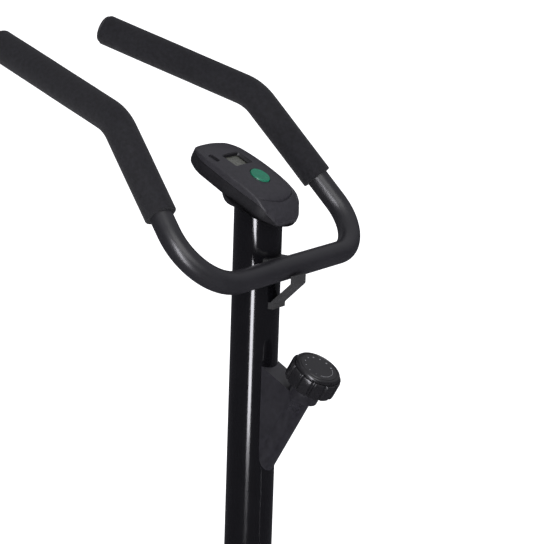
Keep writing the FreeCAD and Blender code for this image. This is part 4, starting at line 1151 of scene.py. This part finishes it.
@dataclass
class TensionKnob:
    """Fluted knob with a ringed cap and a row of dots as its scale."""

    face: Triple = (0.0, 84.5, 827.1)
    lean: float = 29.2
    stand: float = 14.8
    height: float = 27.5
    skirt_height: float = 22.5
    skirt_radius: float = 33.0
    cap_radius: float = 30.6
    flutes: int = 12
    flute_depth: float = 2.3
    bore: float = 5.2
    dots: int = 9
    dial_radius: float = 18.5

    def axis(self) -> Vector:
        """Direction of the knob's axis."""
        lean = math.radians(self.lean)
        return Vector((0.0, -math.sin(lean), math.cos(lean)))

    def base(self) -> Vector:
        """Middle of the knob's underside."""
        return Vector(self.face) + self.axis() * self.stand

    def lobed(self, radius: float, height: float, angle: float) -> float:
        """Radius with the flutes cut in the skirt.

        Args:
            radius: the radius without flutes.
            height: height over the underside.
            angle: angle about the axis.

        Returns:
            The radius there.
        """
        if radius < self.skirt_radius - 3.4 or height > self.skirt_height + 0.1:
            return radius
        wave = 0.5 + 0.5 * math.cos(angle * self.flutes)
        return radius - self.flute_depth * smoothstep(0.8, 0.98, wave)

    def build_knob(self) -> Piece:
        """Make the knob.

        Returns:
            The knob.
        """
        r, s, h, c = self.skirt_radius, self.skirt_height, self.height, self.cap_radius
        skirt = [(self.bore, 0.0), (r - 3.0, 0.0), (r - 0.8, 0.5), (r, 1.6), (r, 7.0), (r, 14.0),
                 (r, s - 1.8), (r - 0.6, s - 0.5), (r - 1.8, s)]
        rim = [(c + 0.2, s), (c - 0.6, s - 0.7), (c - 0.8, s + 0.6), (c - 1.0, h - 2.2), (c - 1.8, h - 0.8),
               (c - 3.2, h - 0.1), (c - 4.6, h)]
        dial = [(c - 5.3, h - 0.7), (c - 6.0, h - 0.75), (c - 6.7, h - 0.2), (14.0, h - 0.1), (6.0, h),
                (0.8, h)]
        rings = turned(self.base(), self.axis(), skirt + rim + dial, 288, self.lobed)
        floor = turned(self.base(), self.axis(), [(0.8, 16.0), (self.bore, 16.0)], 288)
        knob = add_piece("tension_knob_skin", *loft([*floor, *rings]), KNOB, 34.0)
        return settle(knob, "tension", "knob_plastic", "tension_knob")

    def build_scale(self) -> Piece:
        """Make the dots, which grow round an arc.

        Returns:
            The dots as one piece.
        """
        axis = self.axis()
        side = UP.cross(axis).normalized()
        over = axis.cross(side).normalized()
        vertices: Loop = []
        faces: list[tuple[int, ...]] = []
        for k in range(self.dots):
            a = math.radians(205 - 230 * k / (self.dots - 1))
            centre = self.base() + around(side, over, a) * self.dial_radius + axis * (self.height - 0.25)
            size = 0.55 + 0.09 * k
            dot, skin = loft(turned(centre, axis, [(size, 0.0), (size, 0.3), (size * 0.7, 0.4)], 20))
            faces += [tuple(i + len(vertices) for i in f) for f in skin]
            vertices += dot
        arc = [self.base() + around(side, over, a) * self.dial_radius + axis * (self.height - 0.05)
               for a in (math.radians(225 + 100 * k / 40) for k in range(41))]
        line, skin = loft(sweep([p * MM for p in arc], lambda i, a: 0.28 * MM, 8))
        faces += [tuple(i + len(vertices) for i in f) for f in skin]
        vertices += line
        return settle(add_piece("tension_scale", vertices, faces, MARKS), "tension", "knob_plastic")

    def build(self) -> None:
        """Make the knob and its scale."""
        self.build_knob()
        self.build_scale()


# --- pedals

@dataclass
class PedalStrap:
    """Rubber toe strap with beaded edges and a row of holes."""

    side: int
    width: float = 34.0
    thickness: float = 2.5
    half_length: float = 44.0
    half_height: float = 13.0
    rise: float = 52.0
    holes: int = 5
    hole_radius: float = 2.2
    first_hole: int = 54    # point of the path at the first hole
    hole_step: int = 5

    def centre(self) -> Vector:
        """Middle of the pedal at rest, from its CAD node."""
        low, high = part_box("pedal_" + hand(self.side))
        return (Vector(low) + Vector(high)) / 2 / MM

    def path(self, centre: Vector) -> Loop:
        """The strap's middle line.

        Args:
            centre: the pedal's middle.

        Returns:
            Points in millimetres.
        """
        out = self.half_length - 4
        low, top = centre.z - self.half_height + 2, centre.z + self.rise
        corners = [Vector((centre.x, centre.y + y, z)) for y, z in (
            (-out, low), (-out, centre.z + 26), (-22, top), (22, top), (out, centre.z + 26), (out, low))]
        return rounded_path(corners, [0, 30, 24, 24, 30, 0], False, 5.0)

    def build(self) -> Piece:
        """Make the strap.

        Returns:
            The strap.
        """
        centre = self.centre()
        path = evenly(self.path(centre), 90, False)
        half, t = self.width / 2, self.thickness / 2
        bead = [(half, t * 0.8), (half - 0.6, t), (half - 2.4, t), (half - 3.0, t * 0.35)]
        section = [(-half, -t), (half, -t), *bead, *((-x, h) for x, h in reversed(bead))]
        rings = []
        for i, point in enumerate(path):
            out = Vector((1, 0, 0)).cross(heading_at(path, i)).normalized()
            if out.dot(point - centre) < 0:
                out.negate()
            rings.append([(point + Vector((x, 0, 0)) + out * h) * MM for x, h in section])
        strap = add_piece("toe_strap_" + hand(self.side), *loft(rings), STRAP, 30.0)
        cutters = []
        for k in range(self.holes):
            place = self.first_hole + self.hole_step * k
            out = Vector((1, 0, 0)).cross(heading_at(path, place)).normalized()
            ends = [(self.hole_radius, 0.0), (self.hole_radius, 10.0)]
            rings = turned(path[place] - out * 5, out, ends, 20)
            cutters.append(add_piece("cutter", *loft(rings), STRAP))
        cut_away(strap, cutters, 30.0)
        suffix = hand(self.side)
        return settle(strap, "pedal_" + suffix[0], "strap_rubber", "pedal_strap_" + suffix)


# --- saddle

@dataclass
class Saddle:
    """Vinyl covered cushion with piping and a sewn centre channel."""

    cushion: str = "saddle_cushion"
    half_rear: float = 112.0
    half_nose: float = 30.0
    length: float = 262.0
    back: float = 118.0
    start_inset: float = 3.0
    piping_inset: float = 4.6
    piping_radius: float = 2.4
    voxel: float = 5.0
    cap: float = 7.0
    frames: int = 20
    side_height: float = 12.5
    crown: float = 30.0
    tail: float = 4.0
    channel: float = 6.0
    channel_half: float = 11.0
    seam_depth: float = 2.6
    seam_half: float = 3.2

    def __post_init__(self) -> None:
        """Read the cushion's lowest corner from the frame."""
        self.low = Vector(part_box(self.cushion)[0]) / MM

    def outline(self, inset: float, count: int) -> Loop:
        """Plan outline of the cushion.

        Args:
            inset: how far inside the full outline.
            count: number of points.

        Returns:
            Points in millimetres at height 0.
        """
        y = self.low.y + self.back
        w, n = self.half_rear - inset, self.half_nose - inset
        rear, nose = y - self.back + inset, y - self.back + self.length - inset
        right = [(n, nose, n * 0.95), (n + 6, y + 50, 90), (w, y - 28, 42), (w - 14, rear, 44)]
        corners = right + [(-a, b, r) for a, b, r in reversed(right)]
        path = rounded_path([Vector((a, b, 0)) for a, b, _ in corners], [r for _, _, r in corners], True, 4.0)
        return evenly(path, count, True)

    def rise(self, point: Vector, share: float) -> float:
        """Height of the top over the rim: a crown with a channel and a raised tail.

        Args:
            point: place in plan.
            share: 0 in the middle, 1 at the outline.

        Returns:
            Height in millimetres.
        """
        along = (point.y - self.low.y) / self.length
        crown = self.crown * (1 - share**3.2) + 2.0
        tail = self.tail * (1 - smoothstep(0.0, 0.35, along))
        middle = math.exp(-((point.x / self.channel_half) ** 2))
        channel = self.channel * middle * smoothstep(0.02, 0.25, along)
        return crown + tail - channel * (1 - share**4)

    def shell(self, inset: float, count: int = 120, rings: int = 26) -> Skin:
        """Closed cushion form.

        Args:
            inset: how far inside the full outline.
            count: points round each ring.
            rings: rings on the top.

        Returns:
            The vertices and the faces.
        """
        base = self.low.z
        outline = self.outline(inset, count)
        middle = sum(outline, Vector()) / count
        rows = []
        for share in (0.05, 0.5, 0.9, 0.97):
            rows.append([middle.lerp(p, share) + UP * (base + 0.6) for p in outline])
        for level, pull in ((1.6, 0.992), (5.0, 1.0), (9.0, 0.998), (11.5, 0.990)):
            rows.append([middle.lerp(p, pull) + UP * (base + level) for p in outline])
        for k in range(rings, -1, -1):
            share = max(0.02, k / rings) * 0.985
            ring = [middle.lerp(p, share) for p in outline]
            rows.append([p + UP * (base + self.side_height + self.rise(p, share)) for p in ring])
        return loft([[p * MM for p in row] for row in rows])

    def inflate(self, piece: Piece) -> None:
        """Swell the cover under pressure with a cloth simulation and keep the result.

        Args:
            piece: the cushion.
        """
        scene = bpy.context.scene
        remesh = piece.modifiers.new("remesh", "REMESH")
        remesh.mode = "VOXEL"
        remesh.voxel_size = self.voxel * MM
        apply_modifiers(piece)
        start = [v.co.copy() for v in piece.data.vertices]
        base = self.low.z
        held = piece.vertex_groups.new(name="held")
        held.add([i for i, p in enumerate(start) if p.z < (base + 6.0) * MM], 1.0, "REPLACE")
        cloth = piece.modifiers.new("cloth", "CLOTH")
        cloth.settings.use_pressure = True
        cloth.settings.uniform_pressure_force = 4.0
        cloth.settings.vertex_group_mass = held.name
        cloth.settings.effector_weights.gravity = 0.0
        cloth.settings.quality = 5
        cloth.settings.tension_stiffness = 25.0
        cloth.settings.compression_stiffness = 25.0
        cloth.settings.bending_stiffness = 4.0
        for frame in range(1, self.frames + 1):
            scene.frame_set(frame)
        apply_modifiers(piece)
        for vertex, before in zip(piece.data.vertices, start):
            move = vertex.co - before
            if move.length > self.cap * MM:
                vertex.co = before + move.normalized() * (self.cap * MM)
        piece.vertex_groups.clear()
        scene.frame_set(1)

    def sew_channel(self, piece: Piece) -> None:
        """Press the two seams of the centre panel into the top.

        Args:
            piece: the cushion.
        """
        base = self.low.z
        for vertex in piece.data.vertices:
            p = vertex.co / MM
            along = (p.y - self.low.y) / self.length
            if p.z < base + 18 or not 0.1 < along < 0.9:
                continue
            half = 34.0 - 16.0 * along
            away = abs(abs(p.x) - half)
            fade = smoothstep(0.1, 0.2, along) * (1 - smoothstep(0.8, 0.9, along))
            vertex.co.z -= self.seam_depth * math.exp(-((away / self.seam_half) ** 2)) * fade * MM

    def build_cushion(self) -> Piece:
        """Make the cushion.

        Returns:
            The cushion.
        """
        piece = add_piece("saddle_cushion_cover", *self.shell(self.start_inset), VINYL)
        self.inflate(piece)
        smooth = piece.modifiers.new("smooth", "SUBSURF")
        smooth.levels = 1
        smooth.render_levels = 1
        apply_modifiers(piece)
        self.sew_channel(piece)
        piece.data.shade_smooth()
        piece.data.materials.clear()
        piece.data.materials.append(VINYL.material())
        settle(piece, "seat", "saddle_cover", self.cushion)
        return piece

    def build_piping(self) -> Piece:
        """Make the piping round the cushion's lower edge.

        Returns:
            The piping.
        """
        base = self.low.z
        path = [(p + UP * (base + 3.0)) * MM for p in self.outline(self.piping_inset, 200)]
        rings = []
        for i, point in enumerate(path):
            side = heading_at(path, i, closed=True).cross(UP).normalized()
            rings.append([point + around(side, UP, a) * (self.piping_radius * MM)
                          for a in (2 * math.pi * k / 12 for k in range(12))])
        return settle(add_piece("saddle_piping", *loft(rings, closed=True), PIPING), "seat", "saddle_cover")

    def build(self) -> None:
        """Make the cushion and its piping."""
        self.build_cushion()
        self.build_piping()


# --- studio

@dataclass
class Softbox:
    """One area light."""

    name: str
    place: Triple
    aim: Triple
    width: float
    height: float
    power: float
    tint: Triple = (1.0, 1.0, 1.0)
    lights_matt: bool = True

    def build(self) -> None:
        """Make the light, which matt surfaces may be told to ignore."""
        lamp = bpy.data.lights.new(self.name, "AREA")
        lamp.shape = "RECTANGLE"
        lamp.size = self.width
        lamp.size_y = self.height
        lamp.energy = self.power
        lamp.color = self.tint
        holder = bpy.data.objects.new(self.name, lamp)
        holder.visible_diffuse = self.lights_matt
        holder.location = self.place
        aim = Vector(self.aim) - Vector(self.place)
        holder.rotation_euler = aim.to_track_quat("-Z", "Y").to_euler()
        bpy.context.scene.collection.objects.link(holder)


@dataclass
class Studio:
    """Pale floor, soft light and the camera."""

    floor_size: float = 60.0
    floor_level: float = 0.0
    eye: Triple = (-2.4459, -1.4944, 1.6399)
    right: Triple = (0.5607, -0.8274, 0.0324)
    over: Triple = (0.1659, 0.1506, 0.9746)
    back: Triple = (-0.8112, -0.5411, 0.2218)
    lens: float = 163.1
    lights: tuple[Softbox, ...] = (
        Softbox("strip", (-3.0, -0.94, 1.1), (0.0, 0.16, 0.95), 0.75, 2.6, 110.0, (0.95, 0.94, 1.0), False),
        Softbox("front", (-1.6, -2.4, 3.2), (0.0, 0.1, 0.9), 2.6, 2.6, 60.0))

    def build_floor(self) -> None:
        """Make the floor."""
        half = self.floor_size / 2
        corners = [Vector((a * half, b * half, self.floor_level)) for a, b in SQUARE]
        mesh = bpy.data.meshes.new("floor")
        mesh.from_pydata(corners, [], [(0, 1, 2, 3)])
        floor = bpy.data.objects.new("floor", mesh)
        bpy.context.scene.collection.objects.link(floor)
        graph = Graph("pale_floor")
        graph.set(Base_Color=(0.93, 0.93, 0.93, 1), Roughness=0.9, Emission_Color=(1, 1, 1, 1),
                  Emission_Strength=0.95, Specular_IOR_Level=0.0)
        mesh.materials.append(graph.material)
        floor.visible_glossy = False

    def build_world(self) -> None:
        """Make the soft surrounding light: bright overhead and dim at the horizon."""
        world = bpy.data.worlds.new("studio")
        world.use_nodes = True
        bpy.context.scene.world = world
        tree = world.node_tree
        where = tree.nodes.new("ShaderNodeTexCoord")
        split = tree.nodes.new("ShaderNodeSeparateXYZ")
        ramp = tree.nodes.new("ShaderNodeValToRGB")
        ramp.color_ramp.elements[0].position = 0.05
        ramp.color_ramp.elements[0].color = (0.07, 0.07, 0.08, 1)
        ramp.color_ramp.elements[1].position = 0.9
        ramp.color_ramp.elements[1].color = (0.55, 0.55, 0.58, 1)
        path = tree.nodes.new("ShaderNodeLightPath")
        mix = tree.nodes.new("ShaderNodeMixRGB")
        mix.inputs["Color2"].default_value = (0.97, 0.97, 0.97, 1)
        tree.links.new(where.outputs["Generated"], split.inputs["Vector"])
        tree.links.new(split.outputs["Z"], ramp.inputs["Fac"])
        tree.links.new(ramp.outputs["Color"], mix.inputs["Color1"])
        tree.links.new(path.outputs["Is Camera Ray"], mix.inputs["Fac"])
        tree.links.new(mix.outputs["Color"], tree.nodes["Background"].inputs["Color"])

    def build_camera(self) -> None:
        """Make the camera."""
        data = bpy.data.cameras.new("camera")
        data.lens = self.lens
        data.sensor_width = 36.0
        camera = bpy.data.objects.new("camera", data)
        columns = [Vector(self.right), Vector(self.over), Vector(self.back)]
        turn = Matrix(columns).transposed().to_4x4()
        camera.matrix_world = Matrix.Translation(self.eye) @ turn
        bpy.context.scene.collection.objects.link(camera)
        bpy.context.scene.camera = camera

    def build(self) -> None:
        """Make the floor, the lights, the world and the camera."""
        self.build_camera()
        self.build_floor()
        self.build_world()
        for light in self.lights:
            light.build()
        bpy.context.scene.view_settings.view_transform = "Standard"


def main() -> None:
    """Build the looks in order."""
    logging.basicConfig(level=logging.INFO, format="%(name)s: %(message)s")
    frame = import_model()
    Studio().build()
    CadDressing(frame["nodes"]).dress()
    Console().build()
    TensionKnob().build()
    for side in (-1, 1):
        FoamGrip(side).build()
        PedalStrap(side).build()
    Saddle().build()


if __name__ == "__main__":
    main()
